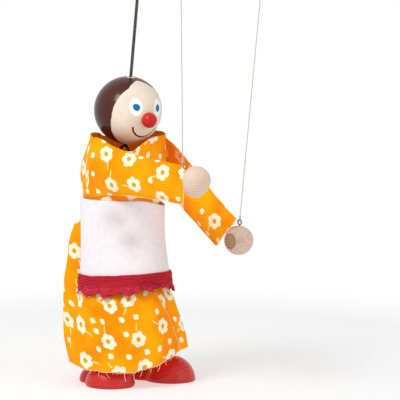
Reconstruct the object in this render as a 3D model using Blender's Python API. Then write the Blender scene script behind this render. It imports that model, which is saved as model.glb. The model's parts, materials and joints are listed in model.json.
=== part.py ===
"""A wooden puppet on a wire, with cloth dress, apron, cord limbs and a wooden control.

The puppet is modelled as it stands: +Z up from the soles, its face towards -Y and its left hand
towards +X. One empty carries all of it, placed so that the top of the control is the origin.
"""

import math

import bmesh
import bpy
from mathutils import Matrix, Vector

MM = 0.001

# Fits
CLEARANCE = 0.3 * MM
CLOTH_GAP = 0.4 * MM

# Torso
BODY_AXIS_Y = 3.0 * MM
TORSO_FLOOR_HEIGHT = 75.0 * MM
TORSO_HEIGHT = 60.0 * MM
TORSO_SHOULDER_RADIUS = 13.5 * MM
TORSO_WAIST_RADIUS = 12.0 * MM
TORSO_HIP_RADIUS = 14.0 * MM
TORSO_EDGE = 2.0 * MM
SHOULDER_BORE_DROP = 5.5 * MM
HIP_BORE_RISE = 5.5 * MM
TORSO_TOP = TORSO_FLOOR_HEIGHT + TORSO_HEIGHT
SHOULDER_HEIGHT = TORSO_TOP - SHOULDER_BORE_DROP
HIP_HEIGHT = TORSO_FLOOR_HEIGHT + HIP_BORE_RISE

# Neck: a screw eye in the torso, linked through a loop at the lower end of the head wire
WIRE_RADIUS = 1.0 * MM
WIRE_LOOP_RADIUS = 3.2 * MM
WIRE_LEAN = math.radians(6.9)
NECK_EYE_WIRE = 0.8 * MM
NECK_EYE_RADIUS = 3.2 * MM
NECK_EYE_Z = TORSO_TOP + CLEARANCE + NECK_EYE_WIRE + NECK_EYE_RADIUS
NECK_PIVOT = Vector((0.0, BODY_AXIS_Y, NECK_EYE_Z + NECK_EYE_RADIUS))
WIRE_UP = Vector((0.0, -math.sin(WIRE_LEAN), math.cos(WIRE_LEAN)))
LINK_OVERLAP = NECK_EYE_WIRE + CLEARANCE + WIRE_RADIUS
WIRE_LOOP_CENTRE = NECK_PIVOT + WIRE_UP * (WIRE_LOOP_RADIUS - LINK_OVERLAP)

# Head and nose
HEAD_RADIUS = 21.0 * MM
HEAD_YAW = math.radians(-8.0)
HEAD_NOD = math.radians(3.5)
HEAD_RISE = WIRE_LOOP_RADIUS + WIRE_RADIUS + CLEARANCE + HEAD_RADIUS
HEAD_CENTRE = WIRE_LOOP_CENTRE + WIRE_UP * HEAD_RISE
NOSE_RADIUS = 4.75 * MM
NOSE_STANDOFF = 1.6 * MM
NOSE_PEG_RADIUS = 2.0 * MM
NOSE_PEG_LENGTH = 6.0 * MM

# Limb cords
CORD_RADIUS = 1.2 * MM
CORD_BORE = CORD_RADIUS + CLEARANCE
ARM_BEND = 9.5 * MM
LEG_BEND = 4.0 * MM

# Hands, by side: -1 is the puppet's right and +1 its left
HAND_RADIUS = 9.0 * MM
HAND_REACH = {-1: Vector((-18.0, -77.4, 4.7)) * MM, 1: Vector((30.0, -66.5, -37.8)) * MM}
HAND_CENTRE = {side: reach + Vector((0, 0, SHOULDER_HEIGHT)) for side, reach in HAND_REACH.items()}
HAND_EYE_AXIS = {-1: Vector((-0.19, 0.64, 0.745)).normalized(),
                 1: Vector((0.03, -0.04, 1.0)).normalized()}
HAND_EYE_WIRE = 0.45 * MM
HAND_EYE_RADIUS = 1.5 * MM
HAND_EYE_SHANK = 5.0 * MM
PLUG_RADIUS = 4.6 * MM
PLUG_LENGTH = 3.5 * MM
PLUG_RECESS = 0.5 * MM

# Feet: half of a turned two-lobe shape
TOE_RADIUS = 15.5 * MM
HEEL_RADIUS = 11.0 * MM
LOBE_SPACING = 18.0 * MM
LOBE_BLEND = 6.0
FOOT_SPLAY = math.radians(17.0)
FOOT_HEEL = {-1: Vector((-14.7, 12.7, 0.0)) * MM, 1: Vector((14.7, 0.2, 0.0)) * MM}
ANKLE_SETBACK = 5.8 * MM
ANKLE_DEPTH = 5.0 * MM

# Control, above the puppet
CONTROL_RISE = TORSO_TOP + 157.0 * MM
CROSSBAR_SIZE = Vector((92.0, 11.0, 8.0)) * MM
MAIN_BAR_WIDTH = 16.0 * MM
MAIN_BAR_THICKNESS = 9.0 * MM
MAIN_BAR_FRONT = -97.0 * MM
MAIN_BAR_BACK = 43.0 * MM
BAR_EDGE = 1.6 * MM
CROSSBAR_Y = -83.5 * MM
CROSSBAR_PEG_RADIUS = 2.5 * MM
PEG_BITE = 6.0 * MM
WIRE_BITE = 6.5 * MM
CONTROL_EYE_X = 37.0 * MM
CONTROL_EYE_WIRE = 0.6 * MM
CONTROL_EYE_RADIUS = 2.0 * MM
CONTROL_EYE_SHANK = 6.0 * MM
MAIN_BAR_BOTTOM = CONTROL_RISE + CROSSBAR_SIZE.z + CLEARANCE
CONTROL_TOP = MAIN_BAR_BOTTOM + MAIN_BAR_THICKNESS

# Strings
STRING_RADIUS = 0.3 * MM
KNOT_SWELL = 2.6
KNOT_LENGTH = 1.8 * MM
STRING_TOP_LENGTH = 32.0 * MM
STRING_STEPS = 12

# Dress: every wall is given as stations of (share of its height, radius beyond the girth)
CLOTH_WALL = 1.0 * MM
DRESS_GIRTH = max(TORSO_SHOULDER_RADIUS, TORSO_HIP_RADIUS)
WAIST_SHARE = 0.4833
WAIST_HEIGHT = TORSO_FLOOR_HEIGHT + WAIST_SHARE * TORSO_HEIGHT
WAIST = [(0.0, TORSO_WAIST_RADIUS + CLOTH_GAP + CLOTH_WALL - DRESS_GIRTH)]
NECKLINE_FRONT = TORSO_TOP + 11.0 * MM
NECKLINE_SIDE = TORSO_TOP + 19.0 * MM
NECKLINE_BACK = TORSO_TOP + 14.0 * MM
BODICE_FRONT = [(0.14, 7.0 * MM), (0.25, 8.4 * MM), (0.6, 8.0 * MM), (1.0, 5.0 * MM)]
BODICE_BACK = [(0.14, 9.5 * MM), (0.25, 11.5 * MM), (0.6, 12.0 * MM), (1.0, 6.0 * MM)]
BODICE_SIDES = [(0.14, 9.5 * MM), (0.25, 11.0 * MM), (0.6, 12.5 * MM), (1.0, 13.0 * MM)]

# Skirt: its stations run from the waist down to the hem
HEM_HEIGHT = 12.0 * MM
HEM_LIFT = 10.0 * MM
HEM_LIFT_ANGLE = math.radians(48.0)
HEM_LIFT_SPREAD = math.radians(70.0)
SKIRT_FRONT = [(0.076, 7.6 * MM), (0.207, 8.2 * MM), (0.348, 10.8 * MM), (0.457, 14.2 * MM),
               (0.565, 16.8 * MM), (0.783, 21.0 * MM), (1.0, 23.0 * MM)]
SKIRT_BACK = [(0.043, 14.0 * MM), (0.098, 18.0 * MM), (0.196, 20.6 * MM), (0.457, 23.6 * MM),
              (0.783, 23.4 * MM), (1.0, 21.5 * MM)]
SKIRT_BACK_SPAN = math.radians(20.0)
SKIRT_ROW_EASE = 1.25
SKIRT_FOLDS = 11
SKIRT_FOLD_DEPTH = 1.3 * MM
SKIRT_FOLD_START = 0.23

# Sleeves: stations of (place, sideways ease, half thickness, share of the depth)
SLEEVE_STANDOFF = 9.5 * MM
SLEEVE_RISE = 6.2 * MM
SLEEVE_DEPTH = 18.5 * MM
SLEEVE_BEHIND = [(10.5 * MM, -1.0 * MM, 2.0 * MM, 0.54), (7.0 * MM, -0.5 * MM, 5.0 * MM, 0.84)]
SLEEVE_AHEAD = [(0.0, 0.0, 6.5 * MM, 1.0), (0.15, 1.5 * MM, 6.8 * MM, 0.82), (0.4, 1.5 * MM, 6.5 * MM, 0.70),
                (0.7, 0.75 * MM, 6.2 * MM, 0.65), (1.0, 0.0, 6.2 * MM, 0.64)]
SLEEVE_OPENING_RADIUS = 8.0 * MM
CUFF_GAP = 1.2 * MM
CUFF_OVERRUN = 3.0 * MM
CUFF_SAG = {-1: 3.0 * MM, 1: 0.0}

# Apron and its trim: its stations run from the lower edge up
APRON_WALL = 1.2 * MM
APRON_TOP = WAIST_HEIGHT + 0.45 * (SHOULDER_HEIGHT - WAIST_HEIGHT)
APRON_BOTTOM = WAIST_HEIGHT - 0.435 * (WAIST_HEIGHT - HEM_HEIGHT)
APRON_TOP_DROP = 0.216 * (SHOULDER_HEIGHT - WAIST_HEIGHT)
APRON_DROP_START = math.radians(-30.0)
APRON_DROP_SPAN = math.radians(70.0)
APRON_HALF_ANGLE = math.radians(118.0)
APRON_WRAP_START = math.radians(50.0)
APRON_WRAP_SPAN = math.radians(55.0)
APRON_FRONT = [(0.0, 16.4 * MM), (0.194, 14.4 * MM), (0.427, 11.6 * MM), (0.641, 10.6 * MM), (1.0, 11.3 * MM)]
APRON_SIDES = [(0.0, 16.4 * MM), (0.427, 14.8 * MM), (1.0, 14.5 * MM)]
BAND_TOP = APRON_BOTTOM + 6.0 * MM
BAND_BOTTOM = APRON_BOTTOM - 1.5 * MM
TRIM_WALL = 0.9 * MM
RUFFLE_BOTTOM = BAND_BOTTOM - 5.5 * MM
RUFFLE_WAVES = 17
RUFFLE_DEPTH = 1.3 * MM

# Colours and finishes: colour, roughness, metallic
FINISHES = {
    "pale_wood": ((0.80, 0.62, 0.44), 0.55, 0.0),
    "end_grain": ((0.62, 0.40, 0.24), 0.60, 0.0),
    "face_paint": ((0.90, 0.76, 0.62), 0.40, 0.0),
    "red_paint": ((0.72, 0.05, 0.05), 0.30, 0.0),
    "red_stain": ((0.52, 0.03, 0.04), 0.35, 0.0),
    "steel": ((0.22, 0.20, 0.19), 0.35, 0.9),
    "orange_cotton": ((0.95, 0.34, 0.01), 0.85, 0.0),
    "white_felt": ((0.90, 0.87, 0.89), 0.90, 0.0),
    "red_trim": ((0.45, 0.01, 0.03), 0.80, 0.0),
    "white_cord": ((0.78, 0.74, 0.66), 0.80, 0.0),
    "grey_thread": ((0.60, 0.59, 0.57), 0.60, 0.0),
}

SIDES = {-1: "right", 1: "left"}


def smoothstep(value):
    """Ease a value from 0 to 1."""
    value = min(max(value, 0.0), 1.0)
    return value * value * (3.0 - 2.0 * value)


def along(stations, place):
    """Read a smooth value at a place from a list of (place, value) stations."""
    if place <= stations[0][0]:
        return stations[0][1]
    for (start, first), (end, second) in zip(stations, stations[1:]):
        if place <= end:
            return first + (second - first) * smoothstep((place - start) / (end - start))
    return stations[-1][1]


def around(angle, radius, height):
    """Place a point around the body's axis: angle 0 is the front and positive is the puppet's left."""
    return Vector((radius * math.sin(angle), BODY_AXIS_Y - radius * math.cos(angle), height))


def smooth_route(points, spacing):
    """Read evenly spaced points from a smooth curve through a route's own points."""
    ends = [points[0] * 2 - points[1]] + list(points) + [points[-1] * 2 - points[-2]]
    route = [points[0].copy()]
    for before, start, end, after in zip(ends, ends[1:], ends[2:], ends[3:]):
        steps = max(1, round((end - start).length / spacing))
        for step in range(1, steps + 1):
            t = step / steps
            route.append(0.5 * (2 * start + (end - before) * t
                                + (2 * before - 5 * start + 4 * end - after) * t ** 2
                                + (3 * start - before - 3 * end + after) * t ** 3))
    return route


def turn_to(axis):
    """Give the rotation that carries +Z to an axis."""
    return Vector((0, 0, 1)).rotation_difference(axis).to_matrix().to_4x4()


def mesh_of(points, faces):
    """Make a mesh with all of its faces pointing out."""
    mesh = bpy.data.meshes.new("shape")
    mesh.from_pydata(points, [], faces)
    shape = bmesh.new()
    shape.from_mesh(mesh)
    bmesh.ops.recalc_face_normals(shape, faces=shape.faces)
    shape.to_mesh(mesh)
    shape.free()
    return mesh


def turned(profile, centre, axis, segments=24):
    """Turn a profile of (radius, height) about an axis; a zero radius closes an end."""
    points, rings = [], []
    place = Matrix.Translation(centre) @ turn_to(axis)
    for radius, height in profile:
        count = 1 if radius == 0 else segments
        rings.append(range(len(points), len(points) + count))
        for step in range(count):
            angle = 2 * math.pi * step / segments
            points.append(place @ Vector((radius * math.cos(angle), radius * math.sin(angle), height)))
    return mesh_of(points, ring_faces(rings))


def ring_faces(rings):
    """Join neighbouring rings of points, and close the two ends."""
    faces = []
    for lower, upper in zip(rings, rings[1:]):
        count = max(len(lower), len(upper))
        for step in range(count):
            after = (step + 1) % count
            corners = [lower[step % len(lower)], lower[after % len(lower)],
                       upper[after % len(upper)], upper[step % len(upper)]]
            faces.append(list(dict.fromkeys(corners)))
    faces += [list(ring) for ring in (rings[0], rings[-1]) if len(ring) > 1]
    return faces


def loft(sections):
    """Skin a list of closed sections of equal count, with flat ends."""
    count = len(sections[0])
    points = [point for section in sections for point in section]
    rings = [range(row * count, (row + 1) * count) for row in range(len(sections))]
    return mesh_of(points, ring_faces(rings))


def sheet(outer, inner, closed):
    """Make a wall between an outer and an inner grid of points, open or closed around."""
    rows, columns = len(outer), len(outer[0])
    points = [point for grid in (outer, inner) for row in grid for point in row]
    offset = rows * columns
    faces = []
    for row in range(rows - 1):
        for column in range(columns if closed else columns - 1):
            after = (column + 1) % columns
            corners = [row * columns + column, row * columns + after,
                       (row + 1) * columns + after, (row + 1) * columns + column]
            faces.append(corners)
            faces.append([offset + corner for corner in corners])
    border = [[(row * columns + column) for column in range(columns)] for row in (0, rows - 1)]
    if closed:
        border = [line + line[:1] for line in border]
    else:
        border += [[row * columns + column for row in range(rows)] for column in (0, columns - 1)]
    for line in border:
        for first, second in zip(line, line[1:]):
            faces.append([first, second, offset + second, offset + first])
    return mesh_of(points, faces)


def rod(start, end, radius, segments=12):
    """Make a plain round rod between two points."""
    return turned([(radius, 0.0), (radius, (end - start).length)], start, end - start, segments)


def ball(centre, radius, axis, segments=28, rings=14):
    """Make a ball whose poles lie on an axis."""
    profile = [(radius * math.sin(math.pi * step / rings), -radius * math.cos(math.pi * step / rings))
               for step in range(1, rings)]
    return turned([(0, -radius)] + profile + [(0, radius)], centre, axis, segments)


def ring(centre, normal, radius, wire, segments=16, sides=6):
    """Make a ring of round wire."""
    place = Matrix.Translation(centre) @ turn_to(normal)
    points, faces = [], []
    for step in range(segments):
        turn = 2 * math.pi * step / segments
        for side in range(sides):
            angle = 2 * math.pi * side / sides
            reach = radius + wire * math.cos(angle)
            points.append(place @ Vector((reach * math.cos(turn), reach * math.sin(turn),
                                          wire * math.sin(angle))))
            after, beside = (step + 1) % segments, (side + 1) % sides
            faces.append([step * sides + side, after * sides + side,
                          after * sides + beside, step * sides + beside])
    return mesh_of(points, faces)


def material(name):
    """Give the named finish, made once."""
    found = bpy.data.materials.get(name)
    if found:
        return found
    colour, roughness, metallic = FINISHES[name]
    made = bpy.data.materials.new(name)
    made.use_nodes = True
    shader = made.node_tree.nodes["Principled BSDF"]
    shader.inputs["Base Color"].default_value = (*colour, 1.0)
    shader.inputs["Roughness"].default_value = roughness
    shader.inputs["Metallic"].default_value = metallic
    return made


class Puppet:
    """The empties that the pieces hang on, one on each joint's axis."""

    def __init__(self):
        self.pivots = {}
        self.empties = {}

    def add_body(self, name, pivot, parent=None):
        """Add the empty of a moving body at its pivot."""
        empty = bpy.data.objects.new(name + "_pivot", None)
        bpy.context.scene.collection.objects.link(empty)
        if parent:
            empty.parent = self.empties[parent]
            empty.location = pivot - self.pivots[parent]
        else:
            empty.location = pivot - Vector((0, 0, CONTROL_TOP))
        self.pivots[name] = pivot
        self.empties[name] = empty

    def hang(self, name, data, body):
        """Put a mesh or curve, drawn where the puppet stands, on a body."""
        data.transform(Matrix.Translation(-self.pivots[body]))
        data.name = name
        piece = bpy.data.objects.new(name, data)
        bpy.context.scene.collection.objects.link(piece)
        piece.parent = self.empties[body]
        return piece

    def add(self, name, mesh, body, finish, smooth=True):
        """Add a piece of the puppet."""
        piece = self.hang(name, mesh, body)
        if smooth:
            mesh.shade_smooth()
            mesh.set_sharp_from_angle(angle=math.radians(40))
        mesh.materials.append(material(finish))
        return piece

    def shape(self, piece, mesh, body, operation="DIFFERENCE"):
        """Cut a shape from a piece, or join it on."""
        tool = self.hang(piece.name + "_tool", mesh, body)
        tool.hide_render = True
        tool.display_type = "WIRE"
        change = piece.modifiers.new(operation.lower(), "BOOLEAN")
        change.object = tool
        change.operation = operation

    def add_cord(self, name, points, radius, body, finish, swells=None):
        """Add a round cord through points, with a swell for each knot."""
        curve = bpy.data.curves.new(name, "CURVE")
        curve.dimensions = "3D"
        curve.bevel_depth = radius
        curve.bevel_resolution = 2
        curve.use_fill_caps = True
        spline = curve.splines.new("POLY")
        spline.points.add(len(points) - 1)
        for index, point in enumerate(points):
            spline.points[index].co = (*point, 1.0)
            spline.points[index].radius = swells[index] if swells else 1.0
        curve.materials.append(material(finish))
        return self.hang(name, curve, body)


def face_direction():
    """Give the way that the face looks, nodded down from square to the wire."""
    flat = Vector((math.sin(HEAD_YAW), -math.cos(HEAD_YAW), 0.0))
    square = (flat - WIRE_UP * flat.dot(WIRE_UP)).normalized()
    return square * math.cos(HEAD_NOD) - WIRE_UP * math.sin(HEAD_NOD)


def arm_direction(side):
    """Give the way that an arm points, from the shoulder bore to its hand."""
    shoulder = Vector((side * TORSO_SHOULDER_RADIUS, BODY_AXIS_Y, SHOULDER_HEIGHT))
    return (HAND_CENTRE[side] - shoulder).normalized()


def foot_direction(side):
    """Give the way that a foot points, from heel to toe."""
    return Vector((side * math.sin(FOOT_SPLAY), -math.cos(FOOT_SPLAY), 0.0))


def ankle(side):
    """Give the lower end of a leg cord, inside the foot."""
    return FOOT_HEEL[side] + foot_direction(side) * ANKLE_SETBACK + Vector((0, 0, ANKLE_DEPTH))


def hip_exit(side):
    """Give the point where a leg cord has turned down from the hip bore."""
    return Vector((side * (TORSO_HIP_RADIUS + LEG_BEND), BODY_AXIS_Y, HIP_HEIGHT - 1.5 * LEG_BEND))


def string_ends(side):
    """Give a string's lower end, its knot and its upper end."""
    eye_reach = HAND_RADIUS + 2 * CLEARANCE + 2 * HAND_EYE_RADIUS + 2 * HAND_EYE_WIRE
    lower = HAND_CENTRE[side] + HAND_EYE_AXIS[side] * eye_reach
    eye_drop = 2 * CLEARANCE + 2 * CONTROL_EYE_RADIUS + 2 * CONTROL_EYE_WIRE
    upper = Vector((side * CONTROL_EYE_X, CROSSBAR_Y, CONTROL_RISE - eye_drop))
    knot = upper + (lower - upper).normalized() * STRING_TOP_LENGTH
    return lower, knot, upper


def make_bodies(puppet):
    """Add each body's empty on its joint's axis."""
    puppet.add_body("control", Vector((0, 0, CONTROL_TOP)))
    puppet.add_body("head", HEAD_CENTRE, "control")
    puppet.add_body("torso", NECK_PIVOT, "control")
    for side, word in SIDES.items():
        shoulder = Vector((side * TORSO_SHOULDER_RADIUS, BODY_AXIS_Y, SHOULDER_HEIGHT))
        hip = Vector((side * TORSO_HIP_RADIUS, BODY_AXIS_Y, HIP_HEIGHT))
        puppet.add_body(word + "_arm", shoulder, "torso")
        puppet.add_body(word + "_hand", HAND_CENTRE[side], word + "_arm")
        puppet.add_body(word + "_leg", hip, "torso")
        puppet.add_body(word + "_foot", ankle(side), word + "_leg")


def block(low, high):
    """Make a plain block between two corners."""
    corners = [Vector((x, y, z)) for z in (low.z, high.z) for y in (low.y, high.y)
               for x in (low.x, high.x)]
    faces = [(0, 2, 3, 1), (4, 5, 7, 6), (0, 1, 5, 4), (2, 6, 7, 3), (0, 4, 6, 2), (1, 3, 7, 5)]
    return mesh_of(corners, faces)


def round_edges(piece):
    """Round the edges of a wooden bar."""
    bevel = piece.modifiers.new("edges", "BEVEL")
    bevel.width = BAR_EDGE
    bevel.segments = 3


def make_eye(puppet, name, body, seat, axis, normal, radius, wire, shank):
    """Add a screw eye that stands on a seat along an axis, with its shank in the seat."""
    centre = seat + axis * (CLEARANCE + wire + radius)
    eye = puppet.add(name, ring(centre, normal, radius, wire), body, "steel")
    puppet.shape(eye, rod(seat - axis * shank, centre - axis * radius, wire, 8), body, "UNION")


def eye_bore(seat, axis, wire, shank):
    """Make the hole that a screw eye's shank sits in."""
    return rod(seat - axis * (shank + CLEARANCE), seat + axis * wire, wire + CLEARANCE, 8)


def make_control(puppet):
    """Add the control's bars, peg and screw eyes."""
    half = CROSSBAR_SIZE / 2
    cross_low = Vector((-half.x, CROSSBAR_Y - half.y, CONTROL_RISE))
    cross_high = Vector((half.x, CROSSBAR_Y + half.y, CONTROL_RISE + CROSSBAR_SIZE.z))
    bar_low = Vector((-MAIN_BAR_WIDTH / 2, MAIN_BAR_FRONT, MAIN_BAR_BOTTOM))
    bar_high = Vector((MAIN_BAR_WIDTH / 2, MAIN_BAR_BACK, CONTROL_TOP))
    bar = puppet.add("control_bar", block(bar_low, bar_high), "control", "pale_wood")
    crossbar = puppet.add("control_crossbar", block(cross_low, cross_high), "control", "pale_wood")
    round_edges(bar)
    round_edges(crossbar)
    peg_foot = Vector((0, CROSSBAR_Y, CONTROL_RISE))
    peg_tip = Vector((0, CROSSBAR_Y, MAIN_BAR_BOTTOM + PEG_BITE))
    rise = Vector((0, 0, CLEARANCE))
    peg_hole = CROSSBAR_PEG_RADIUS + CLEARANCE
    puppet.add("crossbar_peg", rod(peg_foot, peg_tip, CROSSBAR_PEG_RADIUS, 16), "control", "end_grain")
    for piece in (bar, crossbar):
        puppet.shape(piece, rod(peg_foot - rise, peg_tip + rise, peg_hole, 16), "control")
    wire_top = wire_end()
    puppet.shape(bar, rod(wire_top - WIRE_UP * WIRE_BITE * 2, wire_top + WIRE_UP * CLEARANCE,
                          WIRE_RADIUS + CLEARANCE), "control")
    for side, word in SIDES.items():
        seat = Vector((side * CONTROL_EYE_X, CROSSBAR_Y, CONTROL_RISE))
        down = Vector((0, 0, -1))
        make_eye(puppet, word + "_control_eye", "control", seat, down, Vector((0, 1, 0)),
                 CONTROL_EYE_RADIUS, CONTROL_EYE_WIRE, CONTROL_EYE_SHANK)
        puppet.shape(crossbar, eye_bore(seat, down, CONTROL_EYE_WIRE, CONTROL_EYE_SHANK), "control")


def wire_end():
    """Give the top of the head wire, inside the control bar."""
    rise = MAIN_BAR_BOTTOM + WIRE_BITE - WIRE_LOOP_CENTRE.z
    return WIRE_LOOP_CENTRE + WIRE_UP * (rise / WIRE_UP.z)


def make_head(puppet):
    """Add the head, its nose and the wire that carries it."""
    loop = ring(WIRE_LOOP_CENTRE, Vector((1, 0, 0)), WIRE_LOOP_RADIUS, WIRE_RADIUS, 24, 10)
    wire = puppet.add("head_wire", loop, "control", "steel")
    puppet.shape(wire, rod(WIRE_LOOP_CENTRE + WIRE_UP * WIRE_LOOP_RADIUS, wire_end(), WIRE_RADIUS),
                 "control", "UNION")
    head = puppet.add("head_ball", ball(HEAD_CENTRE, HEAD_RADIUS, WIRE_UP), "head", "face_paint")
    reach = WIRE_UP * (HEAD_RADIUS + CLEARANCE)
    puppet.shape(head, rod(HEAD_CENTRE - reach, HEAD_CENTRE + reach, WIRE_RADIUS + CLEARANCE), "head")
    forward = face_direction()
    nose_seat = HEAD_CENTRE + forward * (HEAD_RADIUS + NOSE_STANDOFF)
    peg_tip = HEAD_CENTRE + forward * (HEAD_RADIUS - NOSE_PEG_LENGTH)
    nose = puppet.add("nose_peg", ball(nose_seat, NOSE_RADIUS, forward, 20, 10), "head", "red_paint")
    puppet.shape(nose, ball(HEAD_CENTRE, HEAD_RADIUS + CLEARANCE, WIRE_UP, 40, 20), "head")
    puppet.shape(nose, rod(peg_tip, nose_seat, NOSE_PEG_RADIUS), "head", "UNION")
    nose_hole = rod(peg_tip - forward * CLEARANCE, nose_seat, NOSE_PEG_RADIUS + CLEARANCE)
    puppet.shape(head, nose_hole, "head")


def make_torso(puppet):
    """Add the turned torso with its cross bores, and the screw eye at the neck."""
    low, high = TORSO_FLOOR_HEIGHT, TORSO_TOP
    hip, waist, shoulder = TORSO_HIP_RADIUS, TORSO_WAIST_RADIUS, TORSO_SHOULDER_RADIUS
    profile = [(hip - TORSO_EDGE, low), (hip, low + TORSO_EDGE), (hip, HIP_HEIGHT + CORD_BORE),
               (waist, WAIST_HEIGHT), (shoulder, SHOULDER_HEIGHT - CORD_BORE),
               (shoulder, high - TORSO_EDGE), (shoulder - TORSO_EDGE, high)]
    up = Vector((0, 0, 1))
    block_shape = turned(profile, Vector((0, BODY_AXIS_Y, 0)), up)
    torso = puppet.add("torso_block", block_shape, "torso", "pale_wood")
    for height, radius in ((SHOULDER_HEIGHT, shoulder), (HIP_HEIGHT, hip)):
        half = Vector((radius + CLEARANCE, 0, 0))
        middle = Vector((0, BODY_AXIS_Y, height))
        puppet.shape(torso, rod(middle - half, middle + half, CORD_BORE), "torso")
    seat = Vector((0, BODY_AXIS_Y, high))
    shank = SHOULDER_BORE_DROP - CORD_BORE - 3 * CLEARANCE
    puppet.shape(torso, eye_bore(seat, up, NECK_EYE_WIRE, shank), "torso")
    make_eye(puppet, "neck_eye", "torso", seat, up, Vector((0, 1, 0)),
             NECK_EYE_RADIUS, NECK_EYE_WIRE, shank)


def make_hand(puppet, side):
    """Add a hand bead with its plug and screw eye."""
    word, body = SIDES[side], SIDES[side] + "_hand"
    centre, up = HAND_CENTRE[side], HAND_EYE_AXIS[side]
    inward = Vector((-side, 0, 0))
    inward = (inward - up * inward.dot(up)).normalized()
    bead = puppet.add(word + "_hand_bead", ball(centre, HAND_RADIUS, inward, 24, 12), body, "pale_wood")
    plug_face = math.sqrt(HAND_RADIUS ** 2 - PLUG_RADIUS ** 2) - PLUG_RECESS
    face, foot = centre + inward * plug_face, centre + inward * (plug_face - PLUG_LENGTH)
    puppet.add(word + "_hand_plug", rod(foot, face, PLUG_RADIUS, 20), body, "end_grain")
    puppet.shape(bead, rod(foot - inward * CLEARANCE, centre + inward * HAND_RADIUS,
                           PLUG_RADIUS + CLEARANCE, 20), body)
    seat = centre + up * HAND_RADIUS
    puppet.shape(bead, eye_bore(seat, up, HAND_EYE_WIRE, HAND_EYE_SHANK), body)
    make_eye(puppet, word + "_hand_eye", body, seat, up, inward,
             HAND_EYE_RADIUS, HAND_EYE_WIRE, HAND_EYE_SHANK)


def arm_route(side):
    """Give an arm cord's route, from inside the shoulder bore to the back of the hand."""
    reach = TORSO_SHOULDER_RADIUS + CLEARANCE
    start = Vector((side * CLEARANCE, BODY_AXIS_Y, SHOULDER_HEIGHT))
    mouth = Vector((side * reach, BODY_AXIS_Y, SHOULDER_HEIGHT))
    wrist = HAND_CENTRE[side] - arm_direction(side) * (HAND_RADIUS + CLEARANCE)
    elbow = Vector((side * (reach + ARM_BEND), BODY_AXIS_Y - ARM_BEND, SHOULDER_HEIGHT))
    turn = Vector((side * (reach + 0.7 * ARM_BEND), BODY_AXIS_Y - 0.2 * ARM_BEND, SHOULDER_HEIGHT))
    return [start, (start + mouth) / 2, mouth, turn, elbow + (wrist - elbow) * 0.02,
            elbow + (wrist - elbow) * 0.5, wrist]


def leg_route(side):
    """Give a leg cord's route, from inside the hip bore straight down into the foot."""
    start = Vector((side * CLEARANCE, BODY_AXIS_Y, HIP_HEIGHT))
    mouth = Vector((side * TORSO_HIP_RADIUS, BODY_AXIS_Y, HIP_HEIGHT))
    turn = mouth + Vector((side * 0.75, 0, -0.3)) * LEG_BEND
    top, foot = hip_exit(side), ankle(side)
    return [start, (start + mouth) / 2, mouth, turn, top, top + (foot - top) * 0.4, foot]


def make_limb_cords(puppet, side):
    """Add an arm cord and a leg cord."""
    word, spacing = SIDES[side], 4.0 * CORD_RADIUS
    puppet.add_cord(word + "_arm_cord", smooth_route(arm_route(side), spacing), CORD_RADIUS,
                    word + "_arm", "white_cord")
    puppet.add_cord(word + "_leg_cord", smooth_route(leg_route(side), spacing), CORD_RADIUS,
                    word + "_leg", "white_cord")


def foot_radius(place):
    """Give a foot's radius along its length from the heel lobe's centre, with the waist eased."""
    heel = max(HEEL_RADIUS ** 2 - place ** 2, 0.0) ** 0.5
    toe = max(TOE_RADIUS ** 2 - (place - LOBE_SPACING) ** 2, 0.0) ** 0.5
    largest = max(heel, toe)
    if largest == 0:
        return 0.0
    return largest * ((heel / largest) ** LOBE_BLEND + (toe / largest) ** LOBE_BLEND) ** (1 / LOBE_BLEND)


def make_foot(puppet, side, stations=19, arc=12):
    """Add a foot: the turned shape halved by its flat sole."""
    word, body = SIDES[side], SIDES[side] + "_foot"
    forward = foot_direction(side)
    across = Vector((-forward.y, forward.x, 0.0))
    back, front = -HEEL_RADIUS, LOBE_SPACING + TOE_RADIUS
    points, rings = [], []
    for station in range(stations):
        place = back + (front - back) * (1 - math.cos(math.pi * station / (stations - 1))) / 2
        radius = foot_radius(place) if 0 < station < stations - 1 else 0.0
        count = arc + 1 if radius else 1
        rings.append(range(len(points), len(points) + count))
        for step in range(count):
            angle = math.pi * step / arc
            points.append(FOOT_HEEL[side] + forward * place
                          + (across * math.cos(angle) + Vector((0, 0, math.sin(angle)))) * radius)
    foot = puppet.add(word + "_foot", mesh_of(points, ring_faces(rings)), body, "red_stain")
    lower = ankle(side)
    rise = (hip_exit(side) - lower).normalized()
    puppet.shape(foot, rod(lower - rise * CLEARANCE, lower + rise * TOE_RADIUS, CORD_BORE), body)


def make_strings(puppet, side):
    """Add a string in two lengths that meet at its knot."""
    word = SIDES[side]
    lower, knot, upper = string_ends(side)
    knot_shape = [(0.0, 1.0), (0.3 * KNOT_LENGTH, KNOT_SWELL), (0.7 * KNOT_LENGTH, KNOT_SWELL),
                  (KNOT_LENGTH, 1.0)]
    for name, body, start, end in ((word + "_string", word + "_arm", lower, knot),
                                   (word + "_string_top", "control", knot, upper)):
        way = (end - start).normalized()
        stations = list(knot_shape)
        if start is knot:
            start = start + way * CLEARANCE
            stations = knot_shape[:1]
        length = (end - start).length
        plain = length - 2 * KNOT_LENGTH
        stations += [(KNOT_LENGTH + plain * step / STRING_STEPS, 1.0) for step in range(1, STRING_STEPS)]
        stations += [(length - place, swell) for place, swell in reversed(knot_shape)]
        puppet.add_cord(name, [start + way * place for place, _ in stations], STRING_RADIUS, body,
                        "grey_thread", [swell for _, swell in stations])


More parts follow.
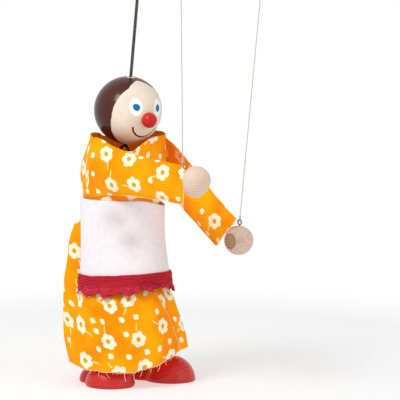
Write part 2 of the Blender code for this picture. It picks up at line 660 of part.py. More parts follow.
def sleeve_stations(side):
    """Give a sleeve's stations from behind the shoulder to the cuff: centre, half thickness, half height."""
    middle = side * (DRESS_GIRTH + SLEEVE_STANDOFF)
    shoulder = Vector((middle, BODY_AXIS_Y, SHOULDER_HEIGHT + SLEEVE_RISE))
    wrist = HAND_CENTRE[side] - arm_direction(side) * (HAND_RADIUS + CUFF_GAP)
    run = wrist - Vector((0, 0, CUFF_SAG[side])) - shoulder
    stations = [(shoulder + Vector((side * ease, behind, 0)), thick, SLEEVE_DEPTH * depth)
                for behind, ease, thick, depth in SLEEVE_BEHIND]
    stations += [(shoulder + run * share + Vector((side * ease, 0, 0)), thick, SLEEVE_DEPTH * depth)
                 for share, ease, thick, depth in SLEEVE_AHEAD]
    return stations


def sleeve_solid(side, growth, first, overrun, count=18):
    """Skin a sleeve's outer form, grown or drawn in, from a station on and past its ends."""
    stations = sleeve_stations(side)
    sections = []
    for index in range(first, len(stations)):
        centre, thick, tall = stations[index]
        before = stations[max(index - 1, 0)][0]
        after = stations[min(index + 1, len(stations) - 1)][0]
        way = (after - before).normalized()
        if index == 0:
            centre = centre - way * overrun
        if index == len(stations) - 1:
            centre = centre + way * overrun
        wide = (Vector((1, 0, 0)) - way * way.x).normalized()
        high = wide.cross(way).normalized()
        if high.z < 0:
            high = -high
        section = []
        for step in range(count):
            angle = 2 * math.pi * step / count
            section.append(centre + wide * (thick + growth) * math.cos(angle)
                           + high * (tall + growth) * math.sin(angle))
        sections.append(section)
    return loft(sections)


def make_sleeve(puppet, side):
    """Add a sleeve: a flattened cloth tube, open at the cuff, the hand's eye and the arm cord."""
    word = SIDES[side]
    body = word + "_arm"
    sleeve = puppet.add(word + "_sleeve", sleeve_solid(side, 0.0, 0, 0.0), body, "orange_cotton")
    puppet.shape(sleeve, sleeve_solid(side, -CLOTH_WALL, 1, CUFF_OVERRUN), body)
    inner = Vector((side * TORSO_SHOULDER_RADIUS * 0.5, BODY_AXIS_Y, SHOULDER_HEIGHT))
    outer = Vector((side * (DRESS_GIRTH + SLEEVE_STANDOFF), BODY_AXIS_Y, SHOULDER_HEIGHT))
    puppet.shape(sleeve, rod(inner, outer, SLEEVE_OPENING_RADIUS, 20), body)
    eye_reach = HAND_EYE_RADIUS + HAND_EYE_WIRE + CLOTH_GAP
    seat = HAND_CENTRE[side] + HAND_EYE_AXIS[side] * HAND_RADIUS
    puppet.shape(sleeve, rod(seat, seat + HAND_EYE_AXIS[side] * 2 * eye_reach, eye_reach, 16), body)


def bodice_radius(angle, share):
    """Give the bodice's outer radius at a share of its height."""
    plain = along(WAIST + (BODICE_FRONT if math.cos(angle) > 0 else BODICE_BACK), share)
    return DRESS_GIRTH + plain + (along(WAIST + BODICE_SIDES, share) - plain) * math.sin(angle) ** 2


def make_bodice(puppet, columns=32, rows=7):
    """Add the bodice: a cloth wall with a boat neck, cut away where the sleeves join it."""
    outer, inner = [], []
    for row in range(rows):
        share = row / (rows - 1)
        outer.append([])
        inner.append([])
        for column in range(columns):
            angle = 2 * math.pi * column / columns
            plain = NECKLINE_FRONT if math.cos(angle) > 0 else NECKLINE_BACK
            top = plain + (NECKLINE_SIDE - plain) * math.sin(angle) ** 2
            low = WAIST_HEIGHT + CLEARANCE
            radius = bodice_radius(angle, share)
            outer[-1].append(around(angle, radius, low + (top - low) * share))
            inner[-1].append(around(angle, radius - CLOTH_WALL, low + (top - low) * share))
    bodice = puppet.add("bodice", sheet(outer, inner, True), "torso", "orange_cotton")
    for side in SIDES:
        for growth in (CLOTH_GAP, 0.0):
            puppet.shape(bodice, sleeve_solid(side, growth, 0, growth), "torso")


def skirt_radius(angle, height):
    """Give the skirt's outer radius without its folds: slim under the apron, full behind."""
    share = (WAIST_HEIGHT - height) / (WAIST_HEIGHT - HEM_HEIGHT)
    full = smoothstep((abs(angle) - APRON_HALF_ANGLE) / SKIRT_BACK_SPAN)
    slim = along(WAIST + SKIRT_FRONT, share)
    return DRESS_GIRTH + slim + (along(WAIST + SKIRT_BACK, share) - slim) * full


def hem_height(angle):
    """Give the hem's height, lifted over the left foot."""
    return HEM_HEIGHT + HEM_LIFT * smoothstep(1.0 - abs(angle - HEM_LIFT_ANGLE) / HEM_LIFT_SPREAD)


def beside_seam(point, side):
    """Keep a point of a skirt panel on its own side of the centre seams."""
    return Vector((side * max(side * point.x, CLEARANCE / 2), point.y, point.z))


def make_skirt_panel(puppet, side, columns=31, rows=9):
    """Add one half of the skirt, with folds that deepen towards the hem."""
    outer, inner = [], []
    for row in range(rows):
        share = row / (rows - 1)
        outer.append([])
        inner.append([])
        for column in range(columns):
            angle = side * math.pi * column / (columns - 1)
            top = WAIST_HEIGHT
            height = top + (hem_height(angle) - top) * share ** SKIRT_ROW_EASE
            deep = smoothstep((share - SKIRT_FOLD_START) / (1 - SKIRT_FOLD_START))
            radius = skirt_radius(angle, height) + SKIRT_FOLD_DEPTH * deep * math.cos(SKIRT_FOLDS * angle)
            outer[-1].append(beside_seam(around(angle, radius, height), side))
            inner[-1].append(beside_seam(around(angle, radius - CLOTH_WALL, height), side))
    puppet.add("skirt_" + SIDES[side] + "_panel", sheet(outer, inner, False), "torso", "orange_cotton")


def apron_radius(angle, height):
    """Give the apron's outer radius."""
    share = (height - APRON_BOTTOM) / (APRON_TOP - APRON_BOTTOM)
    wrap = smoothstep((abs(angle) - APRON_WRAP_START) / APRON_WRAP_SPAN)
    plain = along(APRON_FRONT, share)
    return DRESS_GIRTH + plain + (along(APRON_SIDES, share) - plain) * wrap


def apron_top(angle):
    """Give the height of the apron's upper edge, which drops under the left arm."""
    return APRON_TOP - APRON_TOP_DROP * smoothstep((angle - APRON_DROP_START) / APRON_DROP_SPAN)


def make_wrap(puppet, name, finish, low, high, reach, wall, rows, columns):
    """Add a cloth strip wrapped round the front; functions of the angle give its edges and radius."""
    outer, inner = [], []
    for row in range(rows):
        outer.append([])
        inner.append([])
        for column in range(columns):
            angle = APRON_HALF_ANGLE * (2 * column / (columns - 1) - 1)
            height = low(angle) + (high(angle) - low(angle)) * row / (rows - 1)
            outer[-1].append(around(angle, reach(angle, height), height))
            inner[-1].append(around(angle, reach(angle, height) - wall, height))
    puppet.add(name, sheet(outer, inner, False), "torso", finish)


def band_radius(angle, height):
    """Give the outer radius of the band, which lies on the apron."""
    return apron_radius(angle, max(height, APRON_BOTTOM)) + CLEARANCE + TRIM_WALL


def ruffle_radius(angle, height):
    """Give the outer radius of the ruffle, which waves more towards its lower edge."""
    drop = (BAND_BOTTOM - height) / (BAND_BOTTOM - RUFFLE_BOTTOM)
    wave = math.cos(math.pi * RUFFLE_WAVES * angle / APRON_HALF_ANGLE)
    return band_radius(angle, APRON_BOTTOM) + drop * RUFFLE_DEPTH * (1 + wave)


def make_apron(puppet):
    """Add the apron, the band sewn on its lower edge and the ruffle below the band."""
    make_wrap(puppet, "apron", "white_felt", lambda angle: APRON_BOTTOM, apron_top, apron_radius,
              APRON_WALL, 6, 28)
    make_wrap(puppet, "trim_band", "red_trim", lambda angle: BAND_BOTTOM, lambda angle: BAND_TOP,
              band_radius, TRIM_WALL, 3, 28)
    make_wrap(puppet, "trim_ruffle", "red_trim", lambda angle: RUFFLE_BOTTOM,
              lambda angle: BAND_BOTTOM - CLEARANCE, ruffle_radius, TRIM_WALL, 2, 4 * RUFFLE_WAVES + 1)


def main():
    """Build the puppet."""
    for old in list(bpy.data.objects):
        bpy.data.objects.remove(old)
    puppet = Puppet()
    make_bodies(puppet)
    make_control(puppet)
    make_head(puppet)
    make_torso(puppet)
    make_bodice(puppet)
    make_apron(puppet)
    for side in SIDES:
        make_skirt_panel(puppet, side)
        make_sleeve(puppet, side)
        make_hand(puppet, side)
        make_limb_cords(puppet, side)
        make_foot(puppet, side)
        make_strings(puppet, side)


main()
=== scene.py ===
"""Looks of a wooden puppet on a wire: painted head, bead hands, stained feet, cloth dress and apron.

Heights are given above the soles and angles round the body's axis, with 0 at the front and positive
towards the puppet's left. Every size is in metres.
"""

from __future__ import annotations

import json
import logging
import math
from dataclasses import dataclass, field
from enum import Enum
from functools import cached_property, partial
from typing import Any, Callable, ClassVar, Sequence

import bmesh
import bpy
from bmesh.types import BMesh, BMFace
from bpy.types import Material, Mesh, NodeSocket, NodeTree, Object
from mathutils import Matrix, Vector, noise


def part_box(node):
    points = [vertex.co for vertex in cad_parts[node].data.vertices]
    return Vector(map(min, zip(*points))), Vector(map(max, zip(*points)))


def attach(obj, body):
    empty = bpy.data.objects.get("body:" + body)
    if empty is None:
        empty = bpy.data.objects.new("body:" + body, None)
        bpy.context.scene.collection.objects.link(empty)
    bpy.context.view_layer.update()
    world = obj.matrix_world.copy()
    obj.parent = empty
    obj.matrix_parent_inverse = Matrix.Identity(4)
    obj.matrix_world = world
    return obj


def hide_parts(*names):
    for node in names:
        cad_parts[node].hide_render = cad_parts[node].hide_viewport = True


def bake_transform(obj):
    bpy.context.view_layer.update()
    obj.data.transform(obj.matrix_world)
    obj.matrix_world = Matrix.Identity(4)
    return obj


LOG = logging.getLogger("puppet")
MM = 0.001
SHARP = math.radians(50.0)
Colour = tuple[float, float, float]
Stations = Sequence[tuple[float, float]]

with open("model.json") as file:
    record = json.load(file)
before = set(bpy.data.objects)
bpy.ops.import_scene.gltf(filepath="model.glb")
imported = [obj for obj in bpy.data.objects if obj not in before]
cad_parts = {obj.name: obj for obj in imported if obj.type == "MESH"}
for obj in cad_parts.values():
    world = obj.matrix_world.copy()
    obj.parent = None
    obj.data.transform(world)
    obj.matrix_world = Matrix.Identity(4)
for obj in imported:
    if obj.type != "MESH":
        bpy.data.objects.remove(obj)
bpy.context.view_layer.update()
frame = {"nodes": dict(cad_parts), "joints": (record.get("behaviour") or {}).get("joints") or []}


class Side(Enum):
    """The puppet's own right and left, with the sign of their X."""

    RIGHT = -1
    LEFT = 1

    @property
    def word(self) -> str:
        """Give the word that the side's nodes start with."""
        return self.name.lower()


# Small helpers

def sided(right: Any, left: Any) -> Any:
    """Give a field whose default differs between the two sides."""
    return field(default_factory=lambda: {Side.RIGHT: right, Side.LEFT: left})


def smoothstep(value: float) -> float:
    """Ease a value from 0 to 1."""
    value = min(max(value, 0.0), 1.0)
    return value * value * (3.0 - 2.0 * value)


@dataclass(frozen=True)
class Ease:
    """A smooth rise from 0 to 1 over a span of values; a negative span makes it a fall."""

    start: float
    span: float

    def at(self, value: float) -> float:
        """Give the rise at a value."""
        return smoothstep((value - self.start) / self.span)


def round_ease(start: float, span: float) -> Ease:
    """Give a rise over angles that are written in degrees."""
    return Ease(math.radians(start), math.radians(span))


@dataclass(frozen=True)
class Swell:
    """A smooth swelling round the body, with its middle and its spread in degrees."""

    height: float
    angle: float
    spread: float
    flat: float = 1.0

    def at(self, angle: float) -> float:
        """Give the swelling at an angle."""
        away = abs(angle - math.radians(self.angle)) / math.radians(self.spread)
        return self.height * smoothstep(self.flat - away)


def through(stations: Stations, place: float) -> float:
    """Read a smooth curve through stations.

    Args:
        stations: Pairs of place and value, in rising order of place.
        place: Where to read the curve.

    Returns:
        The value there, held level beyond both ends.
    """
    if place <= stations[0][0]:
        return stations[0][1]
    if place >= stations[-1][0]:
        return stations[-1][1]
    index = max(i for i, station in enumerate(stations[:-1]) if station[0] <= place)
    x0, y0 = stations[index]
    x1, y1 = stations[index + 1]
    slope = (y1 - y0) / (x1 - x0)
    before = stations[index - 1] if index > 0 else None
    after = stations[index + 2] if index + 2 < len(stations) else None
    first = slope if before is None else (y1 - before[1]) / (x1 - before[0])
    last = slope if after is None else (after[1] - y0) / (after[0] - x0)
    t = (place - x0) / (x1 - x0)
    span = x1 - x0
    return ((1 + 2 * t) * (1 - t) ** 2 * y0 + t * (1 - t) ** 2 * span * first
            + t * t * (3 - 2 * t) * y1 + t * t * (t - 1) * span * last)


def in_mm(*stations: tuple[float, float]) -> Stations:
    """Give stations whose values are written in millimetres."""
    return tuple((place, value * MM) for place, value in stations)


def ripple(point: Vector, size: float, seed: float) -> float:
    """Give soft noise from -1 to 1 at a point, with features of a size."""
    return noise.noise(point / size + Vector((seed, 2.3 * seed, -1.7 * seed)))


def crumple(point: Vector, *creases: tuple[float, float, float]) -> float:
    """Add up creases at a point, each with its size in millimetres, its seed and its depth in millimetres."""
    return sum(ripple(point, size * MM, seed) * depth * MM for size, seed, depth in creases)


def square_to(direction: Vector, axis: Vector) -> Vector:
    """Give the part of a direction that is square to an axis, one unit long."""
    return (direction - axis * direction.dot(axis)).normalized()


def joint_of(name: str) -> dict[str, Any]:
    """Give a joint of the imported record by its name."""
    return next(joint for joint in frame["joints"] if joint["name"] == name)


def pivot(name: str) -> Vector:
    """Give a joint's place."""
    return Vector(joint_of(name)["pos_m"])


def axis_of(name: str) -> Vector:
    """Give a joint's axis."""
    return Vector(joint_of(name)["axis"]).normalized()


@dataclass(frozen=True)
class Stand:
    """Where the puppet stands: the floor under its soles and the axis of its body."""

    floor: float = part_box("right_foot")[0][2]
    axis_y: float = joint_of("neck_swing")["pos_m"][1]

    def around(self, angle: float, radius: float, height: float) -> Vector:
        """Place a point by its angle and radius round the body's axis and its height."""
        return Vector((radius * math.sin(angle), self.axis_y - radius * math.cos(angle), self.floor + height))

    def at(self, x: float, y: float, height: float) -> Vector:
        """Place a point by its height above the soles."""
        return Vector((x, y, self.floor + height))

    def polar(self, point: Vector) -> tuple[float, float, float]:
        """Give a point's angle, radius and height."""
        x, y = point.x, self.axis_y - point.y
        return math.atan2(x, y), math.hypot(x, y), point.z - self.floor

    def middle(self, point: Vector) -> Vector:
        """Give the point of the body's axis that is level with a point."""
        return Vector((0.0, self.axis_y, point.z))

    def pushed(self, point: Vector, distance: float) -> Vector:
        """Move a point straight out from the body's axis."""
        return point + (point - self.middle(point)).normalized() * distance


STAND = Stand()


# Node trees

def maths(operation: str, swapped: bool = False) -> Callable[..., "Value"]:
    """Make a method that adds a Math node on a value and any others.

    Args:
        operation: The node's operation.
        swapped: Whether the others come first.

    Returns:
        The method.
    """

    def method(value: "Value", *others: Any) -> "Value":
        """Add the node."""
        inputs = (*others, value) if swapped else (value, *others)
        return value.nodes.node("ShaderNodeMath", {"operation": operation}, dict(enumerate(inputs)))

    return method


class Value:
    """A socket of a node tree; an expression on it adds Math nodes."""

    def __init__(self, nodes: "Nodes", socket: NodeSocket) -> None:
        """Wrap a socket of a tree."""
        self.nodes = nodes
        self.socket = socket

    __add__ = __radd__ = maths("ADD")
    __mul__ = __rmul__ = maths("MULTIPLY")
    __sub__ = maths("SUBTRACT")
    __rsub__ = maths("SUBTRACT", swapped=True)
    __truediv__ = maths("DIVIDE")
    __rtruediv__ = maths("DIVIDE", swapped=True)
    __pow__ = maths("POWER")
    __abs__ = maths("ABSOLUTE")
    least = maths("MINIMUM")
    most = maths("MAXIMUM")
    sine = maths("SINE")
    cosine = maths("COSINE")
    fraction = maths("FRACT")
    bearing = maths("ARCTAN2")

    def step(self, start: float, end: float) -> "Value":
        """Ease from 0 at start to 1 at end."""
        return self.nodes.node("ShaderNodeMapRange", {"interpolation_type": "SMOOTHSTEP"},
                               {"Value": self, "From Min": start, "From Max": end})


class Nodes:
    """A node tree, with methods that add its nodes."""

    def __init__(self, tree: NodeTree) -> None:
        """Wrap a tree."""
        self.tree = tree

    def add(self, kind: str, settings: dict[str, Any], inputs: dict[Any, Any]) -> list[Value]:
        """Add any node.

        Args:
            kind: The node's type.
            settings: Properties that are set first.
            inputs: Values or links by the socket's name or number.

        Returns:
            The node's outputs.
        """
        made = self.tree.nodes.new(kind)
        for name, value in settings.items():
            setattr(made, name, value)
        for key, value in inputs.items():
            self.put(made.inputs[key], value)
        return [Value(self, socket) for socket in made.outputs]

    def node(self, kind: str, settings: dict[str, Any], inputs: dict[Any, Any], output: Any = 0) -> Value:
        """Add any node and give one of its outputs, by its name or number."""
        outputs = self.add(kind, settings, inputs)
        return Value(self, outputs[0].socket.node.outputs[output])

    def put(self, socket: NodeSocket, value: Any) -> None:
        """Link a value to a socket, or set it there.

        Args:
            socket: An input of a node.
            value: A value of the tree, or a constant.
        """
        if isinstance(value, Value):
            self.tree.links.new(value.socket, socket)
        elif socket.type == "RGBA":
            socket.default_value = (*value, 1.0)
        else:
            socket.default_value = value


class Paint(Nodes):
    """A material on one Principled shader, with methods that add its nodes."""

    def __init__(self, name: str) -> None:
        """Start a material.

        Args:
            name: The material's name.
        """
        self.material = bpy.data.materials.new(name)
        self.material.use_nodes = True
        super().__init__(self.material.node_tree)
        self.surface = self.tree.nodes["Principled BSDF"]

    def base(self, roughness: float, metallic: float = 0.0, specular: float = 0.5) -> None:
        """Set the surface's constant roughness, metal and plain reflection.

        Args:
            roughness: How rough it is, from 0 to 1.
            metallic: How much of a metal it is, from 0 to 1.
            specular: How strong its plain reflection is, from 0 to 1.
        """
        self.set("Roughness", roughness)
        self.set("Metallic", metallic)
        self.set("Specular IOR Level", specular)

    def set(self, name: str, value: Any) -> None:
        """Put a value on the surface shader."""
        self.put(self.surface.inputs[name], value)

    def place(self) -> Value:
        """Give the object's own coordinates."""
        return self.node("ShaderNodeTexCoord", {}, {}, "Object")

    def cut(self) -> Value:
        """Give the cloth's flat coordinates, in metres."""
        return self.node("ShaderNodeTexCoord", {}, {}, "UV")

    def attribute(self, name: str) -> Value:
        """Give a value that the mesh carries."""
        return self.node("ShaderNodeAttribute", {"attribute_name": name}, {}, "Fac")

    def vector(self, operation: str, first: Any, second: Any = None, scale: Any = None,
               output: str = "Vector") -> Value:
        """Add a Vector Math node.

        Args:
            operation: The node's operation.
            first: A vector.
            second: Another vector.
            scale: A number, for an operation that takes one.
            output: The name of the output to give.

        Returns:
            That output.
        """
        inputs = {0: first}
        if second is not None:
            inputs[1] = second
        if scale is not None:
            inputs["Scale"] = scale
        return self.node("ShaderNodeVectorMath", {"operation": operation}, inputs, output)

    def dot(self, first: Any, second: Any) -> Value:
        """Give the dot product of two vectors."""
        return self.vector("DOT_PRODUCT", first, second, output="Value")

    def parts(self, vector: Value) -> list[Value]:
        """Split a vector into its three numbers."""
        return self.add("ShaderNodeSeparateXYZ", {}, {0: vector})

    def mix(self, factor: Any, first: Any, second: Any) -> Value:
        """Mix two colours."""
        return self.node("ShaderNodeMix", {"data_type": "RGBA"}, {0: factor, 6: first, 7: second}, 2)

    def grain(self, vector: Value, scale: float, detail: float = 2.0) -> Value:
        """Give noise from 0 to 1 with so many features to a unit."""
        inputs = {"Vector": vector, "Scale": scale, "Detail": detail}
        return self.node("ShaderNodeTexNoise", {}, inputs, "Fac")

    def cells(self, vector: Value, randomness: float, output: str) -> Value:
        """Give one output of flat cells, one to a unit."""
        return self.node("ShaderNodeTexVoronoi", {"voronoi_dimensions": "2D", "feature": "F1"},
                         {"Vector": vector, "Scale": 1.0, "Randomness": randomness}, output)

    def bump(self, height: Value, distance: float, strength: float) -> None:
        """Raise the surface by a height from 0 to 1 over a distance."""
        inputs = {"Height": height, "Distance": distance, "Strength": strength}
        self.set("Normal", self.node("ShaderNodeBump", {}, inputs))


# Finishes

class Finish:
    """Something that paints a material, which is kept by the finish's name."""

    name: str
    kept: ClassVar[dict[str, Material]] = {}

    @property
    def material(self) -> Material:
        """Give the finish's material, painted the first time it is asked for.

        Returns:
            The material.
        """
        if self.name not in self.kept:
            paint = Paint(self.name)
            self.coat(paint)
            self.kept[self.name] = paint.material
        return self.kept[self.name]

    def coat(self, paint: Paint) -> None:
        """Add the finish's nodes to its paint."""
        raise NotImplementedError


@dataclass(frozen=True)
class WoodFinish(Finish):
    """Wood with growth rings round a pith line, fibres along it, and a stain or oil."""

    name: str
    pale: Colour
    dark: Colour
    pith: tuple[float, float, float]
    along: tuple[float, float, float]
    ring: float = 1.1 * MM
    ring_depth: float = 0.5
    roughness: float = 0.5
    specular: float = 0.25
    warp: float = 2.4

    def coat(self, paint: Paint) -> None:
        """Add the wood's nodes.

        Args:
            paint: The material's paint.
        """
        paint.base(self.roughness, specular=self.specular)
        offset = paint.vector("SUBTRACT", paint.place(), self.pith)
        length = paint.dot(offset, self.along)
        across = paint.vector("SUBTRACT", offset, paint.vector("SCALE", self.along, scale=length))
        warp = paint.grain(offset, 90.0, 2.0) - 0.5
        radius = paint.vector("LENGTH", across, output="Value") + warp * (self.warp * self.ring)
        turn = (radius / self.ring).fraction()
        late = turn.step(0.45, 0.9) * (1 - turn.step(0.92, 1.0))
        fibre_place = paint.vector("ADD", across, paint.vector("SCALE", self.along, scale=length * 0.06))
        fibre = paint.grain(fibre_place, 2600.0, 3.0)
        blotch = paint.grain(offset, 110.0, 3.0)
        depth = late * self.ring_depth + fibre * 0.45 + blotch * 0.4 - 0.3
        paint.set("Base Color", paint.mix(depth.step(0.0, 1.0), self.pale, self.dark))
        paint.set("Roughness", self.roughness + (fibre - 0.5) * 0.25)
        paint.bump(fibre * 0.6 + late * 0.4, 0.12 * MM, 0.5)


@dataclass(frozen=True)
class FacePaint(Finish):
    """Birch with a painted cap of hair, two eyes and a smile, all on a ball round the head's centre."""

    centre: Vector
    wire: Vector
    up: Vector
    forward: Vector
    radius: float
    name: str = "face_paint"
    wood: Colour = (0.81, 0.71, 0.60)
    wood_dark: Colour = (0.60, 0.455, 0.345)
    hair: Colour = (0.045, 0.009, 0.005)
    hair_light: Colour = (0.078, 0.018, 0.010)
    white: Colour = (0.86, 0.87, 0.88)
    iris: Colour = (0.010, 0.155, 0.36)
    lip: Colour = (0.16, 0.014, 0.011)
    tilt: float = math.radians(5.0)
    hair_line: float = 0.432
    hair_peak: float = 0.25
    peak_slope: float = 0.45
    eye_side: float = 0.388
    eye_rise: float = 0.318
    eye_half_width: float = 0.19
    eye_half_height: float = 0.25
    iris_radius: float = 0.100
    smile_rise: float = -0.135
    smile_radius: float = 0.44
    smile_width: float = 0.026
    smile_end: float = -0.275
    smile_side: float = 0.02
    hair_coat: float = 0.36
    hair_coat_roughness: float = 0.16

    def coat(self, paint: Paint) -> None:
        """Add the painted head's nodes.

        Args:
            paint: The material's paint.
        """
        paint.base(0.42, specular=0.07)
        paint.set("Coat Roughness", self.hair_coat_roughness)
        left = self.up.cross(self.forward).normalized()
        offset = paint.vector("SUBTRACT", paint.place(), self.centre)
        place = paint.vector("SCALE", offset, scale=1 / self.radius)
        wobble = paint.grain(place, 7.0, 2.0) - 0.5
        side = paint.dot(place, left) + wobble * 0.035
        rise = paint.dot(place, self.up) + wobble * 0.025
        front = paint.dot(place, self.forward)
        turned_side = side * math.cos(self.tilt) - rise * math.sin(self.tilt)
        turned_rise = rise * math.cos(self.tilt) + side * math.sin(self.tilt)
        facing = front.step(0.0, 0.1)

        line = (abs(side) * self.peak_slope + self.hair_peak).least(
            self.hair_line - (0 - rise).most(0.0) * 0.1)
        skin = (front - line + wobble * 0.05).step(-0.012, 0.012)
        parting = paint.dot(place, self.wire).step(0.991, 0.9925)

        aside = abs(turned_side) - self.eye_side
        above = turned_rise - self.eye_rise
        eye = self.oval(aside / self.eye_half_width, above / self.eye_half_height, 0.06) * facing
        iris = self.oval(aside / self.iris_radius, above / self.iris_radius, 0.12) * facing

        smile_y = turned_rise - self.smile_rise
        smile_x = turned_side - self.smile_side
        smile_gap = abs((smile_x * smile_x + smile_y * smile_y) ** 0.5 - self.smile_radius)
        smile = (self.smile_width - smile_gap).step(-0.006, 0.006)
        smile = smile * (self.smile_end - turned_rise).step(-0.006, 0.006) * facing

        fibre_place = paint.vector("MULTIPLY", place, (9.0, 9.0, 0.9))
        fibre = paint.grain(fibre_place, 9.0, 3.0)
        blotch = paint.grain(place, 2.2, 3.0)
        wood = paint.mix((fibre * 0.55 + blotch * 0.6 - 0.25).step(0.0, 1.0), self.wood, self.wood_dark)
        stroke = paint.grain(paint.vector("MULTIPLY", place, (3.0, 3.0, 14.0)), 3.0, 3.0)
        hair = paint.mix(stroke, self.hair, self.hair_light)
        bare = skin.most(parting)
        colour = paint.mix(bare, hair, wood)
        colour = paint.mix(eye, colour, self.white)
        colour = paint.mix(iris, colour, self.iris)
        colour = paint.mix(smile, colour, self.lip)
        paint.set("Base Color", colour)
        paint.set("Coat Weight", (1 - bare) * self.hair_coat)
        paint.set("Roughness", 0.3 + bare * 0.15 - eye * 0.1 + (stroke - 0.5) * 0.12)
        thick = (1 - bare) * 0.55 + eye * 0.3 + iris * 0.25 + smile * 0.3
        paint.bump(thick + stroke * (1 - bare) * 0.6 + fibre * bare * 0.12, 0.16 * MM, 0.7)

    @staticmethod
    def oval(x: Value, y: Value, softness: float) -> Value:
        """Draw an oval of unit radius with a soft edge."""
        return (1 - (x * x + y * y)).step(-softness, softness)


@dataclass(frozen=True)
class GlossPaint(Finish):
    """Brushed gloss paint on wood."""

    name: str
    colour: Colour
    deep: Colour
    roughness: float = 0.3

    def coat(self, paint: Paint) -> None:
        """Add the paint's nodes.

        Args:
            paint: The material's paint.
        """
        paint.base(self.roughness, specular=0.25)
        place = paint.place()
        cloud = paint.grain(place, 260.0, 3.0)
        paint.set("Base Color", paint.mix(cloud.step(0.25, 0.75), self.colour, self.deep))
        paint.set("Roughness", self.roughness + (cloud - 0.5) * 0.2)
        paint.bump(paint.grain(place, 900.0, 2.0), 0.05 * MM, 0.5)


@dataclass(frozen=True)
class WireFinish(Finish):
    """Dark drawn steel with fine scratches."""

    name: str = "steel"
    colour: Colour = (0.055, 0.048, 0.045)
    # on the steel this is only the lighter colour of real scratches and wear
    worn: Colour = (0.16, 0.14, 0.13)
    roughness: float = 0.38
    metallic: float = 0.85

    def coat(self, paint: Paint) -> None:
        """Add the steel's nodes.

        Args:
            paint: The material's paint.
        """
        paint.base(self.roughness, metallic=self.metallic)
        place = paint.place()
        scratch = paint.grain(paint.vector("MULTIPLY", place, (1.0, 1.0, 0.05)), 3200.0, 2.0)
        patch = paint.grain(place, 160.0, 3.0)
        paint.set("Base Color", paint.mix((scratch * 0.5 + patch * 0.6 - 0.15).step(0.2, 0.9),
                                          self.colour, self.worn))
        paint.set("Roughness", self.roughness + (patch - 0.5) * 0.3)
        paint.bump(scratch, 0.02 * MM, 0.4)


